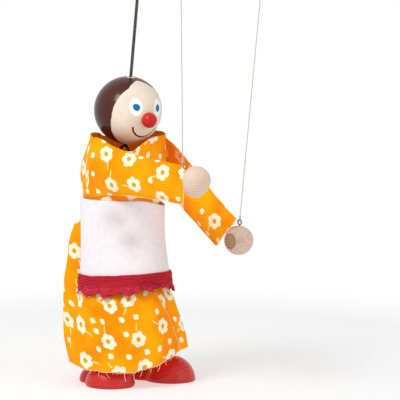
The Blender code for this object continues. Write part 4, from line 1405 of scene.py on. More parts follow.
@dataclass
class Hand:
    """A bead hand with its plug and screw eye."""

    side: Side
    radius: float = 9.0 * MM
    plug_radius: float = 4.6 * MM
    plug_recess: float = 0.5 * MM
    plug_length: float = 3.5 * MM
    plug_gap: float = 0.15 * MM
    plug_dome: float = 0.1 * MM
    plug_shoulder: float = 0.06 * MM
    pith_rise: float = 1.5 * MM
    pith_way: dict[Side, tuple[float, float, float]] = sided((-0.684, -0.684, 0.253), (0.2, 0.3, 1.0))
    tone: dict[Side, float] = sided(1.0, 0.92)
    rim: float = 0.25 * MM
    eye_radius: float = 1.5 * MM
    eye_wire: float = 0.45 * MM
    stretch: float = 1.18
    slim: float = 0.85

    def build(self) -> None:
        """Make the bead, the plug and the eye."""
        word, body = self.side.word, self.side.word + "_hand"
        centre, up = pivot(word + "_wrist"), axis_of(word + "_wrist")
        inward = square_to(Vector((-self.side.value, 0, 0)), up)
        way = Vector(self.pith_way[self.side])
        pith = way.normalized() if self.side is Side.RIGHT else square_to(way, inward)
        pale, dark = (tuple(part * self.tone[self.side] for part in colour)
                      for colour in ((0.74, 0.56, 0.44), (0.49, 0.31, 0.20)))
        finish = WoodFinish(word + "_bead_wood", pale, dark, tuple(centre + Vector((0, 0, self.pith_rise))),
                            tuple(pith), ring=1.5 * MM, ring_depth=0.34, roughness=0.55, warp=3.4)
        rim_height = math.sqrt(self.radius ** 2 - (self.plug_radius + self.rim) ** 2)
        hole = self.plug_radius + self.plug_gap
        first = math.asin((self.plug_radius + 2 * self.rim) / self.radius)
        profile = [(0.0, -self.radius), *arc(self.radius, 0.0, math.pi - first, 40)[1:]]
        face = rim_height - self.plug_recess
        floor = face - self.plug_length
        profile += [(hole, rim_height - self.rim), (hole, floor), (0.0, floor)]
        mesh = lathe(word + "_hand", profile, centre, inward, 72)
        if self.side is Side.RIGHT:
            self.lengthen(mesh, centre, inward)
        bead = as_object(word + "_hand", mesh, finish.material)
        add_piece(bead, body, "pale_wood", word + "_hand_bead")
        end_grain = WoodFinish(word + "_plug_wood", (0.50, 0.30, 0.18), (0.27, 0.14, 0.075),
                               tuple(centre + up * 22 * MM), tuple(up.cross(inward)), ring=1.3 * MM,
                               ring_depth=0.7, roughness=0.65)
        shape = [(0.0, floor + self.rim), (self.plug_radius, floor + self.rim),
                 (self.plug_radius, face - self.rim), (self.plug_radius - self.rim, face),
                 (self.plug_radius * 0.5, face + self.plug_shoulder), (0.0, face + self.plug_dome)]
        plug = as_object(word + "_plug", lathe(word + "_plug", shape, centre, inward, 48),
                         end_grain.material)
        add_piece(plug, body, "end_grain", word + "_hand_plug")
        ScrewEye(word + "_hand_eye", body, centre + up * self.radius, up, inward, self.eye_radius,
                 self.eye_wire, finish=BROWN_STEEL).build()

    def lengthen(self, mesh: Mesh, centre: Vector, inward: Vector) -> None:
        """Make a bead longer below its middle and slimmer from front to back, away from its plug.

        Args:
            mesh: The bead's mesh.
            centre: The bead's centre.
            inward: The direction that the plug faces.
        """
        upright = Vector((0.0, 0.0, 1.0))
        across = upright.cross(inward).normalized()
        for vertex in mesh.vertices:
            offset = vertex.co - centre
            away = smoothstep((0.6 * self.radius - offset.dot(inward)) / (0.8 * self.radius))
            change = (upright * min(offset.z, 0.0) * (self.stretch - 1)
                      + across * offset.dot(across) * (self.slim - 1))
            vertex.co += change * away


@dataclass
class Foot:
    """A stained foot: half of a turned shape of two lobes."""

    side: Side
    toe: float = 15.5 * MM
    heel: float = 11.0 * MM
    spacing: float = 18.0 * MM
    lobe_blend: float = 6.0
    splay: float = math.radians(17.0)
    heel_x: float = 14.7 * MM
    heel_y: dict[Side, float] = sided(12.7 * MM, 0.2 * MM)
    edge: float = 1.6 * MM
    edge_tuck: float = 0.05
    stations: int = 72
    steps: int = 40

    def radius(self, place: float) -> float:
        """Give the turned radius at a place along the foot from the heel lobe's middle.

        Args:
            place: The distance from the heel lobe's middle towards the toe.

        Returns:
            The radius.
        """
        heel = max(self.heel ** 2 - place ** 2, 0.0) ** 0.5
        toe = max(self.toe ** 2 - (place - self.spacing) ** 2, 0.0) ** 0.5
        largest = max(heel, toe, 1e-9)
        blend = self.lobe_blend
        return largest * ((heel / largest) ** blend + (toe / largest) ** blend) ** (1 / blend)

    def build(self) -> None:
        """Make the foot."""
        word = self.side.word
        sign = self.side.value
        forward = Vector((sign * math.sin(self.splay), -math.cos(self.splay), 0.0))
        across = Vector((-forward.y, forward.x, 0.0))
        heel = STAND.at(sign * self.heel_x, self.heel_y[self.side], 0.0)
        back, front = -self.heel, self.spacing + self.toe
        shape = bmesh.new()
        rings = []
        for station in range(1, self.stations):
            place = back + (front - back) * (1 - math.cos(math.pi * station / self.stations)) / 2
            radius = self.radius(place)
            ring = []
            for step in range(self.steps + 1):
                turn = math.pi * step / self.steps
                height = radius * math.sin(turn)
                tuck = 1 - self.edge_tuck * max(0.0, 1 - height / self.edge) ** 2
                ring.append(shape.verts.new(heel + forward * place + across * radius * math.cos(turn) * tuck
                                            + Vector((0, 0, height))))
            rings.append(ring)
        tips = [[shape.verts.new(heel + forward * place)] for place in (back, front)]
        for lower, upper in zip([tips[0], *rings], [*rings, tips[1]]):
            join(shape, lower, upper)
        mesh = solid(word + "_shoe", shape, SHARP)
        finish = WoodFinish(word + "_red_stain", (0.58, 0.024, 0.020), (0.25, 0.005, 0.006),
                            tuple(heel + Vector((0, 0, -12 * MM))), tuple(forward), ring=2.0 * MM,
                            ring_depth=0.25, roughness=0.28, specular=0.28)
        made = as_object(word + "_shoe", mesh, finish.material)
        add_piece(made, word + "_foot", "red_stain", word + "_foot")


@dataclass
class LimbCords:
    """The arm and leg cords of one side."""

    side: Side
    radius: float = 1.2 * MM
    shoulder_radius: float = 13.5 * MM
    arm_bend: float = 9.5 * MM
    leg_bend: float = 4.0 * MM
    gap: float = 0.3 * MM
    lobe_depth: float = 0.12
    pitch: float = 10.0 * MM
    step: float = 0.9 * MM

    def arm_route(self) -> list[Vector]:
        """Route the arm cord from the shoulder bore to the back of the hand.

        Returns:
            Its points.
        """
        sign = self.side.value
        shoulder = pivot(self.side.word + "_shoulder")
        hand = pivot(self.side.word + "_wrist")
        mouth = Vector((sign * (self.shoulder_radius + self.gap), shoulder.y, shoulder.z))
        start = Vector((sign * self.gap, shoulder.y, shoulder.z))
        bend = self.arm_bend
        elbow = mouth + Vector((sign * bend, -bend, 0.0))
        turn = mouth + Vector((sign * 0.7 * bend, -0.2 * bend, 0.0))
        wrist = hand - (hand - shoulder).normalized() * (Hand.radius + self.gap)
        forearm = [elbow.lerp(wrist, 0.02), elbow.lerp(wrist, 0.5), wrist]
        return [start, (start + mouth) / 2, mouth, turn, *forearm]

    def leg_route(self) -> list[Vector]:
        """Route the leg cord from the hip bore down into the foot.

        Returns:
            Its points.
        """
        sign = self.side.value
        hip = pivot(self.side.word + "_hip")
        foot = pivot(self.side.word + "_foot_turn")
        start = Vector((sign * self.gap, hip.y, hip.z))
        bend = self.leg_bend
        turn = hip + Vector((sign * 0.75, 0.0, -0.3)) * bend
        top = hip + Vector((sign, 0.0, -1.5)) * bend
        return [start, (start + hip) / 2, hip, turn, top, top.lerp(foot, 0.4), foot]

    def build(self) -> None:
        for limb, route in (("arm", self.arm_route()), ("leg", self.leg_route())):
            name = f"{self.side.word}_{limb}"
            points = spaced(route, self.step)
            mesh = tube(name + "_twist", points, [self.radius / (1 + self.lobe_depth)] * len(points), 15, 3,
                        self.pitch, self.lobe_depth)
            made = as_object(name + "_twist", mesh, WHITE_CORD.material)
            add_piece(made, name, "white_cord", name + "_cord")


@dataclass
class HandString:
    """A hand's string in its two lengths, with its knots and the loops through the eyes."""

    side: Side
    radius: float = 0.3 * MM
    knot_swell: float = 2.6
    knot_length: float = 1.8 * MM
    top_length: float = 32.0 * MM
    control_eye: float = 2.0 * MM
    control_wire: float = 0.6 * MM
    gap: float = 0.3 * MM
    step: float = 0.6 * MM
    knot_lumps: float = 0.12
    loop_steps: int = 24
    loop_thinning: float = 0.8

    def ends(self) -> tuple[Vector, Vector, Vector]:
        """Find the string's ends and its middle knot.

        Returns:
            The lower end, the knot and the upper end.
        """
        word = self.side.word
        reach = Hand.radius + 2 * self.gap + 2 * Hand.eye_radius + 2 * Hand.eye_wire
        lower = pivot(word + "_wrist") + axis_of(word + "_wrist") * reach
        low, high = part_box(word + "_control_eye")
        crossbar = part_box("control_crossbar")[0]
        drop = 2 * self.gap + 2 * self.control_eye + 2 * self.control_wire
        upper = Vector(((low[0] + high[0]) / 2, (low[1] + high[1]) / 2, crossbar[2] - drop))
        knot = upper + (lower - upper).normalized() * self.top_length
        return lower, knot, upper

    def build(self) -> None:
        word = self.side.word
        lower, knot, upper = self.ends()
        for name, start, end, bodies in (("string", lower, knot, ("torso", word + "_arm")),
                                         ("string_top", knot, upper, ("control", "torso"))):
            way = (end - start).normalized()
            first = start + way * self.gap if name == "string_top" else start
            length = (end - first).length
            steps = max(12, round(length / self.step))
            points, radii = [], []
            for step in range(steps + 1):
                place = length * step / steps
                near = min(length - place, place if name == "string" else length)
                lump = max(0.0, 1 - abs(near / self.knot_length - 0.5) * 2) ** 0.5
                points.append(first + way * place)
                uneven = 1 + self.knot_lumps * math.sin(9 * step)
                radii.append(self.radius * (1 + (self.knot_swell - 1) * lump * uneven))
            mesh = tube(f"{word}_{name}_thread", points, radii, 8)
            made = as_object(f"{word}_{name}_thread", mesh, THREAD.material)
            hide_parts(f"{word}_{name}")
            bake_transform(made)
            LOG.info("%s bends between %s and %s", made.name, *bodies)
        down = -axis_of(word + "_wrist")
        inward = square_to(Vector((-self.side.value, 0, 0)), down)
        self.add_loop("hand_loop", word + "_hand", lower, down, inward, Hand.eye_wire)
        self.add_loop("control_loop", "control", upper, Vector((0, 0, 1)), Vector((0, 1, 0)),
                      self.control_wire)
        seat = Vector((upper.x, upper.y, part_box("control_crossbar")[0][2]))
        ScrewEye(word + "_control_eye", "control", seat, Vector((0, 0, -1)), Vector((0, 1, 0)),
                 self.control_eye, self.control_wire).build()

    def add_loop(self, name: str, body: str, knot: Vector, way: Vector, across: Vector, wire: float) -> None:
        """Add the loop of thread from a knot round the wire of its eye.

        Args:
            name: The loop's name without its side.
            body: The body that it moves with.
            knot: The knot's place.
            way: The direction from the knot to the eye.
            across: The direction across the eye's wire.
            wire: The wire's radius.
        """
        long = self.gap + 2 * wire + self.radius + self.knot_length * 0.3
        points = []
        for step in range(self.loop_steps):
            turn = 2 * math.pi * step / self.loop_steps
            points.append(knot + way * (long * 0.5 * (1 - math.cos(turn)) - self.knot_length * 0.2)
                          + across * (wire + self.radius * 1.1) * math.sin(turn))
        mesh = tube(f"{self.side.word}_{name}", points, [self.radius * self.loop_thinning] * len(points), 6,
                    closed=True)
        made = as_object(f"{self.side.word}_{name}", mesh, THREAD.material)
        add_piece(made, body, "grey_thread")


@dataclass
class Dress:
    """The printed dress without its sleeves: a bodice and a wrapped skirt in two halves."""

    waist: float = 104.0 * MM
    neck: Stations = in_mm(
        (-180, 151.2), (-170, 152.0), (-160, 152.8), (-140, 154.5), (-120, 155.5), (-108, 155.0),
        (-98, 154.0), (-91, 150.5), (-83, 148.7), (-69, 149.6), (-43, 146.2), (-32, 145.6), (-19, 147.6),
        (-5, 150.4), (10, 152.4), (25, 153.3), (55, 153.6), (80, 154.0), (105, 151.5), (140, 150.2),
        (168, 150.6), (180, 151.2))
    near_shoulder: Swell = Swell(4.5 * MM, -140.0, 42.0)
    far_shoulder: Swell = Swell(3.2 * MM, 52.0, 45.0)
    bodice_front: Stations = in_mm((0.0, 13.4), (0.14, 21.0), (0.25, 22.4), (0.6, 22.0), (1.0, 19.0))
    bodice_back: Stations = in_mm((0.0, 13.4), (0.14, 23.5), (0.25, 26.3), (0.6, 27.3), (1.0, 17.5))
    bodice_sides: Stations = in_mm((0.0, 13.4), (0.14, 23.5), (0.25, 25.5), (0.6, 26.6), (1.0, 24.4))
    hem: float = 12.0 * MM
    hem_line: Stations = in_mm((-180, 15.0), (-112, 14.3), (-91, 12.1), (-74, 10.8), (-40, 10.8), (-28, 11.8),
                               (3, 17.3), (27, 20.7), (45, 22.1), (70, 22.0), (110, 18.0), (180, 15.0))
    hem_ragged: float = 0.55 * MM
    hem_radius: float = 0.036
    ragged: Ease = Ease(math.radians(20), -0.6)
    far_flare: Swell = Swell(2.2 * MM, 50.0, 60.0)
    flare_down: Ease = Ease(0.55, 0.4)
    skirt_front: Stations = in_mm((0.0, 13.4), (0.076, 17.5), (0.207, 18.2), (0.348, 20.5), (0.457, 24.6),
                                  (0.565, 30.0), (0.783, 35.0), (1.0, 37.4))
    skirt_side: Stations = in_mm((0.0, 13.4), (0.03, 20.5), (0.076, 22.5), (0.207, 23.4), (0.348, 24.8),
                                 (0.457, 26.3), (0.565, 30.2), (0.783, 35.0), (1.0, 37.4))
    beside: Ease = round_ease(60.0, 42.0)
    skirt_back: Stations = in_mm((0.0, 13.4), (0.043, 28.0), (0.098, 32.0), (0.196, 34.6), (0.457, 37.4),
                                 (0.75, 37.4), (0.88, 35.6), (1.0, 32.4))
    behind: Ease = round_ease(118.0, 20.0)
    blend_reach: float = 24.0 * MM
    lap: float = 0.9 * MM
    back_lap: float = 0.04
    front_lap: float = math.radians(9.0)
    front_edge: float = -2.0
    front_sweep: float = 26.0
    sweep_down: Ease = Ease(0.45, 0.55)
    under_front: Ease = Ease(0.70, 0.10)
    under_back: Ease = Ease(0.06, -0.04)
    row_spread: float = 1.12
    fold_down: Ease = Ease(0.3, 0.7)
    folds: Sequence[tuple[float, float, float, float]] = ((8, 0.9, 0.0, 1.0), (15, 2.1, 1.4, 0.7))
    print_shift: dict[Side, tuple[float, float]] = sided((0.5, 0.3), (0.907, 0.561))
    raw_sides: dict[Side, str] = sided("bottom end", "bottom")
    armhole_low: tuple[float, float] = (-11.2 * MM, -0.8 * MM)
    armhole_high: tuple[float, float] = (-10.2 * MM, 10.4 * MM)
    armhole_radius: float = 3.6 * MM

    def bodice_radius(self, angle: float, share: float) -> float:
        """Give the bodice's radius at a share of its height.

        Args:
            angle: The angle round the body's axis.
            share: Share of the way from the waist to the neckline.

        Returns:
            The radius.
        """
        plain = through(self.bodice_front if math.cos(angle) > 0 else self.bodice_back, share)
        return (plain + (through(self.bodice_sides, share) - plain) * math.sin(angle) ** 2
                + self.far_shoulder.at(angle) * share ** 2 - self.near_shoulder.at(angle) * share ** 6)

    def neckline(self, angle: float) -> float:
        """Give the height of the neckline."""
        return through(self.neck, math.degrees(angle))

    def bodice_place(self, across: float, down: float) -> Vector:
        """Place a point of the bodice, from the neckline down to the waist.

        Args:
            across: Share of the way round it.
            down: Share of the way down it.

        Returns:
            The point.
        """
        angle = math.pi * (2 * across - 1)
        share = 1 - down
        top = self.neckline(angle)
        point = STAND.around(angle, self.bodice_radius(angle, share), self.waist + (top - self.waist) * share)
        return STAND.pushed(point, crumple(point, (9.0, 4.0, 0.5), (4.0, 9.0, 0.18)))

    def in_armhole(self, across: float, down: float) -> bool:
        """Tell whether a place on the bodice is in an armhole, where an arm's cord comes out.

        Args:
            across: Share of the way across it.
            down: Share of the way down it.

        Returns:
            Whether it is.
        """
        point = self.bodice_place(across, down)
        side = Side.LEFT if point.x > 0 else Side.RIGHT
        offset = (point - pivot(side.word + "_shoulder")).yz
        low, high = Vector(self.armhole_low), Vector(self.armhole_high)
        share = (offset - low).dot(high - low) / (high - low).length_squared
        return (offset - low.lerp(high, min(max(share, 0.0), 1.0))).length < self.armhole_radius

    def build_bodice(self) -> None:
        """Make the bodice."""
        sheet = Cloth("bodice_cloth", self.bodice_place, STAND.middle, 44, 168, closed=True,
                      missing=self.in_armhole)
        made = sheet.build(COTTON.material, COTTON_LINING.material)
        add_piece(made, "torso", "orange_cotton", "bodice")

    def skirt_radius(self, angle: float, height: float) -> float:
        """Give the skirt's radius without its folds.

        Args:
            angle: The angle round the body's axis.
            height: The height above the soles.

        Returns:
            The radius.
        """
        share = (self.waist - height) / (self.waist - self.hem)
        beside = self.beside.at(abs(angle))
        slim = through(self.skirt_front, share) * (1 - beside) + through(self.skirt_side, share) * beside
        full = slim + (through(self.skirt_back, share) - slim) * self.behind.at(abs(angle))
        return full + self.far_flare.at(angle) * self.flare_down.at(share)

    def hem_height(self, angle: float) -> float:
        """Give the hem's height, lifted over the left foot and cut a little ragged."""
        ragged = ripple(Vector((angle * self.hem_radius, 0.0, 0.0)), 3.0 * MM, 12.0) * self.hem_ragged
        return through(self.hem_line, math.degrees(angle)) + ragged * self.ragged.at(angle)

    def skirt_place(self, side: Side, across: float, down: float) -> Vector:
        """Place a point of a skirt half, from its back seam round to its front edge.

        Args:
            side: The half's side.
            across: Share of the way from the back seam.
            down: Share of the way to the hem.

        Returns:
            The point.
        """
        if side is Side.RIGHT:
            front = math.radians(self.front_edge + self.front_sweep * self.sweep_down.at(down))
            angle = -math.pi - self.back_lap + (math.pi + self.back_lap + front) * across
            lay = 0.0
        else:
            angle = math.pi - (math.pi + self.front_lap) * across
            lay = -self.lap * max(self.under_front.at(across), self.under_back.at(across))
        height = self.waist + (self.hem_height(angle) - self.waist) * down ** self.row_spread
        waves = sum(size * math.cos(count * angle + phase + drift * down)
                    for count, phase, drift, size in self.folds)
        fold = waves * MM * self.fold_down.at(down)
        point = STAND.around(angle, self.skirt_radius(angle, height) + fold + lay, height)
        crease = crumple(point, (15.0, 3.0, 0.9), (6.0, 6.0, 0.25))
        return STAND.pushed(point, crease * min(1.0, 3 * down))

    def build_skirt(self, side: Side) -> None:
        """Make one half of the skirt, with its frayed hem.

        Args:
            side: The half's side.
        """
        word = side.word
        sheet = Cloth(f"skirt_{word}_cloth", partial(self.skirt_place, side), STAND.middle, 84, 150,
                      raw_sides=self.raw_sides[side], print_start=0.72, print_level=1.0,
                      print_shift=self.print_shift[side])
        made = sheet.build(COTTON.material, COTTON_INSIDE.material)
        fray = Trimming(EdgeWork.FRAY, spacing=2.3 * MM, length=1.3 * MM, thickness=0.10 * MM,
                        seed=3 + side.value)
        long_fray = Trimming(EdgeWork.FRAY, spacing=5.5 * MM, length=5.2 * MM, thickness=0.14 * MM,
                             seed=44 + side.value)
        raw_thread = RAW_THREAD.material
        hem = sheet.edge("bottom")
        threads = [fray.build(f"skirt_{word}_fray", hem, raw_thread),
                   long_fray.build(f"skirt_{word}_loose_threads", hem[len(hem) // 2:], raw_thread)]
        for piece in (made, *threads):
            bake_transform(piece)
            LOG.info("%s bends between torso and %s_leg", piece.name, word)
        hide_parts(f"skirt_{word}_panel")


@dataclass
class Sleeve:
    """A flat cloth sleeve with a fold along its top, a seam along its bottom and an open armhole."""

    side: Side
    dress: Dress
    standoff: float = 23.5 * MM
    rise: float = 6.2 * MM
    depth: float = 18.5 * MM
    cuff_gap: float = 2.4 * MM
    cuff_slant: float = 3.6 * MM
    cuff_top: dict[Side, float] = sided(0.0, 3.4 * MM)
    bead_room: dict[Side, float] = sided(8.6 * MM, 9.6 * MM)
    seam_lip: float = 1.3 * MM
    cuff_sag: dict[Side, float] = sided(3.0 * MM, 0.0)
    behind: Sequence[tuple[float, float, float, float]] = (
        (6.0 * MM, -0.3 * MM, 2.0 * MM, 0.64), (3.0 * MM, 0.0, 5.2 * MM, 0.86))
    ahead: Sequence[tuple[float, float, float, float]] = (
        (0.0, 0.0, 6.5 * MM, 1.0), (0.15, 1.2 * MM, 6.8 * MM, 0.86), (0.4, 1.5 * MM, 6.5 * MM, 0.71),
        (0.7, 0.75 * MM, 5.6 * MM, 0.65), (1.0, 0.0, 4.2 * MM, 0.64))
    lift: dict[Side, Stations] = sided(in_mm((0.0, 0.0), (1.0, 0.0)),
                                       in_mm((0.0, 0.0), (0.15, 3.0), (0.4, 3.6), (0.7, 1.6), (1.0, 0.0)))
    print_shift: dict[Side, tuple[float, float]] = sided((0.512, 0.347), (0.311, 0.133))
    seam_pinch: float = 0.22
    seam_share: float = 0.05
    slant_down: Ease = Ease(0.7, 0.3)
    collar_share: float = 1.15
    root_share: float = 0.15
    armhole: float = 0.42
    bend_end: float = 30.0 * MM
    bodice_gap: float = 0.9 * MM

    def stations(self) -> list[tuple[Vector, float, float]]:
        """Give the sleeve's stations, from behind the shoulder to the cuff.

        Returns:
            The middle, half thickness and half depth at each.
        """
        sign = self.side.value
        pin = pivot(self.side.word + "_shoulder")
        hand = pivot(self.side.word + "_wrist")
        shoulder = Vector((sign * self.standoff, pin.y, pin.z + self.rise))
        wrist = hand - (hand - pin).normalized() * (Hand.radius + self.cuff_gap)
        run = wrist - Vector((0, 0, self.cuff_sag[self.side])) - shoulder
        stations = [(shoulder + Vector((sign * ease, back, 0)), thick, self.depth * share)
                    for back, ease, thick, share in self.behind]
        rise = self.lift[self.side]
        stations += [(shoulder + run * place + Vector((sign * ease, 0, through(rise, place))), thick,
                      self.depth * share) for place, ease, thick, share in self.ahead]
        return stations

    @cached_property
    def reads(self) -> list[Stations]:
        """Give the sleeve's measures by the length along its middle.

        Returns:
            Its x, y, z, half thickness and half depth.
        """
        stations = self.stations()
        lengths = [0.0]
        for before, after in zip(stations, stations[1:]):
            lengths.append(lengths[-1] + (after[0] - before[0]).length)
        rows = [(middle.x, middle.y, middle.z, thick, deep) for middle, thick, deep in stations]
        return [list(zip(lengths, column)) for column in zip(*rows)]

    def spine(self, share: float) -> tuple[Vector, Vector, float, float]:
        """Read the sleeve's middle line.

        Args:
            share: Share of the way along it.

        Returns:
            The middle, direction, half thickness and half depth there.
        """
        reads = self.reads
        place = share * reads[0][-1][0]
        middle = Vector([through(read, place) for read in reads[:3]])
        step = 0.5 * MM
        ahead = Vector([through(read, place + step) for read in reads[:3]])
        back = Vector([through(read, place - step) for read in reads[:3]])
        return middle, (ahead - back).normalized(), through(reads[3], place), through(reads[4], place)

    def place(self, across: float, down: float) -> Vector:
        """Place a point of the sleeve, from its bottom seam up the outside and down the inside.

        Args:
            across: Share of the way round it.
            down: Share of the way to the cuff.

        Returns:
            The point.
        """
        middle, way, thick, deep = self.spine(down)
        sign = self.side.value
        wide = square_to(Vector((sign, 0, 0)), way)
        high = wide.cross(way)
        high = -high if high.z < 0 else high
        turn = 2 * math.pi * across - math.pi / 2
        level = math.sin(turn)
        pinch = 1.0 if level > 0 else (1 - level * level) ** self.seam_pinch
        slant = -sign * self.cuff_slant * math.cos(turn) + self.cuff_top[self.side] * max(level, 0.0)
        slant *= self.slant_down.at(down)
        point = middle + wide * thick * math.cos(turn) * pinch + high * deep * level + way * slant
        crease = crumple(point, (11.0, 5.0, 0.7), (5.0, 2.0, 0.2))
        lip = self.seam_lip * smoothstep(1 - min(across, 1 - across) / self.seam_share)
        point = point + wide * (crease + lip) * (1 if math.cos(turn) > 0 else -1)
        return self.clear_bead(self.keep_out(point))

    def clear_bead(self, point: Vector) -> Vector:
        """Keep a point of the cuff clear of the bead as the bead turns.

        Args:
            point: A point of the sleeve.

        Returns:
            The point, moved out where it has to be.
        """
        hand = pivot(self.side.word + "_wrist")
        offset = point - hand
        return hand + offset.normalized() * max(offset.length, self.bead_room[self.side])

    def keep_out(self, point: Vector) -> Vector:
        """Keep a point outside the bodice.

        Args:
            point: A point of the sleeve.

        Returns:
            The point, moved out where it has to be.
        """
        angle, radius, height = STAND.polar(point)
        top = self.dress.neckline(angle)
        share = (height - self.dress.waist) / (top - self.dress.waist)
        if share > self.collar_share:
            return point
        least = self.dress.bodice_radius(angle, min(max(share, 0.0), 1.0)) + self.bodice_gap
        return STAND.around(angle, max(radius, least), height)

    def open_armhole(self, across: float, down: float) -> bool:
        """Tell whether a place on the sleeve is in its open armhole."""
        return across > 0.5 and down < self.armhole

    def build(self) -> None:
        """Make the sleeve, with its frayed cuff."""
        word = self.side.word
        sheet = Cloth(word + "_sleeve_cloth", self.place, self.inside, 96, 96,
                      raw_sides="top bottom start end", print_level=0.6,
                      print_shift=self.print_shift[self.side], missing=self.open_armhole)
        made = sheet.build(COTTON.material, COTTON_INSIDE.material)
        fray = Trimming(EdgeWork.FRAY, spacing=1.6 * MM, length=2.6 * MM, thickness=0.10 * MM,
                        seed=11 + self.side.value)
        threads = fray.build(word + "_cuff_fray", sheet.edge("bottom"), RAW_THREAD.material)
        for piece in (made, threads):
            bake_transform(piece)
            LOG.info("%s bends between torso and %s_arm", piece.name, word)
        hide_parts(word + "_sleeve")

    def inside(self, point: Vector) -> Vector:
        """Give a point inside the sleeve level with a point on it.

        Args:
            point: A point of the sleeve.

        Returns:
            The point inside it.
        """
        first, last = self.spine(self.root_share)[0], self.spine(1.0)[0]
        share = (point - first).dot(last - first) / (last - first).length_squared
        place = self.root_share + (1 - self.root_share) * share
        return self.spine(min(max(place, 0.0), 1.0))[0]


@dataclass
class Apron:
    """The felt apron with the braid and ruffle on its lower edge."""

    top: float = 115.5 * MM
    top_drop: float = 5.5 * MM
    top_slope: Ease = round_ease(-30.0, 70.0)
    bottom: float = 64.0 * MM
    half_angle: float = math.radians(118.0)
    front: Stations = in_mm((0.0, 28.3), (0.194, 27.0), (0.427, 25.2), (0.641, 24.6), (1.0, 25.3))
    sides: Stations = in_mm((0.0, 28.6), (0.427, 28.2), (1.0, 28.3))
    wrap: Ease = round_ease(50.0, 55.0)
    wall: float = 1.1 * MM
    band_top: float = 70.0 * MM
    band_bottom: float = 62.5 * MM
    band_wall: float = 0.8 * MM
    band_gap: float = 0.5 * MM
    band_radius: float = 0.03
    band_ribs: int = 8
    rib_depth: float = 0.22 * MM
    rib_drift: float = 0.004
    ruffle_bottom: float = 58.6 * MM
    end_drop: float = 2.2 * MM
    drop_middle: float = math.radians(-15)
    drop_slope: Ease = round_ease(10.0, 80.0)
    ruffle_waves: int = 17
    ruffle_depth: float = 1.7 * MM
    ruffle_lap: float = 0.8 * MM
    ruffle_gap: float = 0.4 * MM
    ruffle_sway: float = 1.1 * MM
    ruffle_lift: Swell = Swell(2.4 * MM, 3.0, 36.0, flat=1.3)
    side_calm: float = 0.75
    towards_sides: Ease = round_ease(70.0, 40.0)
    far_calm: Swell = Swell(0.6, 48.0, 32.0)
    loop_rise: float = 4.0 * MM
    loop_radius: float = 0.55 * MM
    loop_seat: float = 3.0 * MM
    loop_standoff: float = 2.4 * MM
    loop_start: float = -27.0
    loop_sweep: float = 30.0
    loop_steps: int = 30
    stitch_row: float = 0.24
    stitch_lift: float = 0.1 * MM
    stitch_steps: int = 300

    def radius(self, angle: float, height: float) -> float:
        """Give the apron's outer radius.

        Args:
            angle: The angle round the body's axis.
            height: The height above the soles.

        Returns:
            The radius.
        """
        share = min(max((height - self.bottom) / (self.top - self.bottom), 0.0), 1.0)
        wrap = self.wrap.at(abs(angle))
        plain = through(self.front, share)
        return plain + (through(self.sides, share) - plain) * wrap

    def place(self, across: float, down: float) -> Vector:
        """Place a point of the apron.

        Args:
            across: Share of the way across it.
            down: Share of the way down it.

        Returns:
            The point.
        """
        angle = self.half_angle * (2 * across - 1)
        top = self.top - self.top_drop * self.top_slope.at(angle)
        height = top + (self.bottom - top) * down
        point = STAND.around(angle, self.radius(angle, height), height)
        return STAND.pushed(point, crumple(point, (22.0, 8.0, 0.5)))

    def droop(self, angle: float) -> float:
        """Give how far the trim hangs down towards its ends."""
        return self.end_drop * self.drop_slope.at(abs(angle - self.drop_middle))

    def band_place(self, across: float, down: float) -> Vector:
        """Place a point of the band, ribbed along its length.

        Args:
            across: Share of the way across it.
            down: Share of the way down it.

        Returns:
            The point.
        """
        angle = self.half_angle * (2 * across - 1)
        height = self.band_top + (self.band_bottom - self.band_top) * down
        run = angle * self.band_radius
        sag = crumple(Vector((run, 0.0, 0.0)), (9.0, 3.0, 0.5)) - self.droop(angle)
        rib = self.rib_depth * math.cos(2 * math.pi * self.band_ribs * down)
        rib += crumple(Vector((run, down * self.rib_drift, 0.0)), (2.0, 5.0, 0.3))
        reach = self.radius(angle, height) + self.band_gap + self.band_wall
        return STAND.around(angle, reach + rib, height + sag)

    def ruffle_place(self, across: float, down: float) -> Vector:
        """Place a point of the ruffle, which waves more towards its lower edge.

        Args:
            across: Share of the way across it.
            down: Share of the way down it.

        Returns:
            The point.
        """
        angle = self.half_angle * (2 * across - 1)
        phase = math.pi * self.ruffle_waves * (2 * across - 1)
        run = Vector((across * 0.1, 0.0, 0.0))
        phase += 2.2 * ripple(run, 11.0 * MM, 2.0)
        size = 1 + 0.7 * ripple(run, 7.0 * MM, 7.0)
        wave = math.cos(phase) * size
        low = self.ruffle_bottom + self.ruffle_sway * math.sin(phase * 0.5 + 1.0) * size
        low += self.ruffle_lift.at(angle)
        top = self.band_bottom + self.ruffle_lap
        height = top + (low - top) * down - self.droop(angle)
        reach = self.radius(angle, self.bottom) + self.ruffle_gap + self.band_wall
        tight = (1 - self.side_calm * self.towards_sides.at(abs(angle))) * (1 - self.far_calm.at(angle))
        return STAND.around(angle, reach + down * self.ruffle_depth * (1 + wave) * tight, height)

    def loose_loop(self, braid: Material) -> Object:
        """Make the loop of braid that has come loose and stands up over the band.

        Args:
            braid: What it is painted with.

        Returns:
            The loop.
        """
        points, radii = [], []
        for step in range(self.loop_steps + 1):
            share = step / self.loop_steps
            angle = math.radians(self.loop_start + self.loop_sweep * share)
            height = self.ruffle_bottom + self.loop_seat + self.loop_rise * math.sin(math.pi * share) ** 0.7
            reach = self.radius(angle, self.bottom) + self.loop_standoff + 0.4 * MM * math.sin(9 * share)
            points.append(STAND.around(angle, reach, height))
            radii.append(self.loop_radius * (0.8 + 0.3 * math.sin(21 * share)))
        return as_object("trim_loose_loop", tube("trim_loose_loop", points, radii, 8), braid)

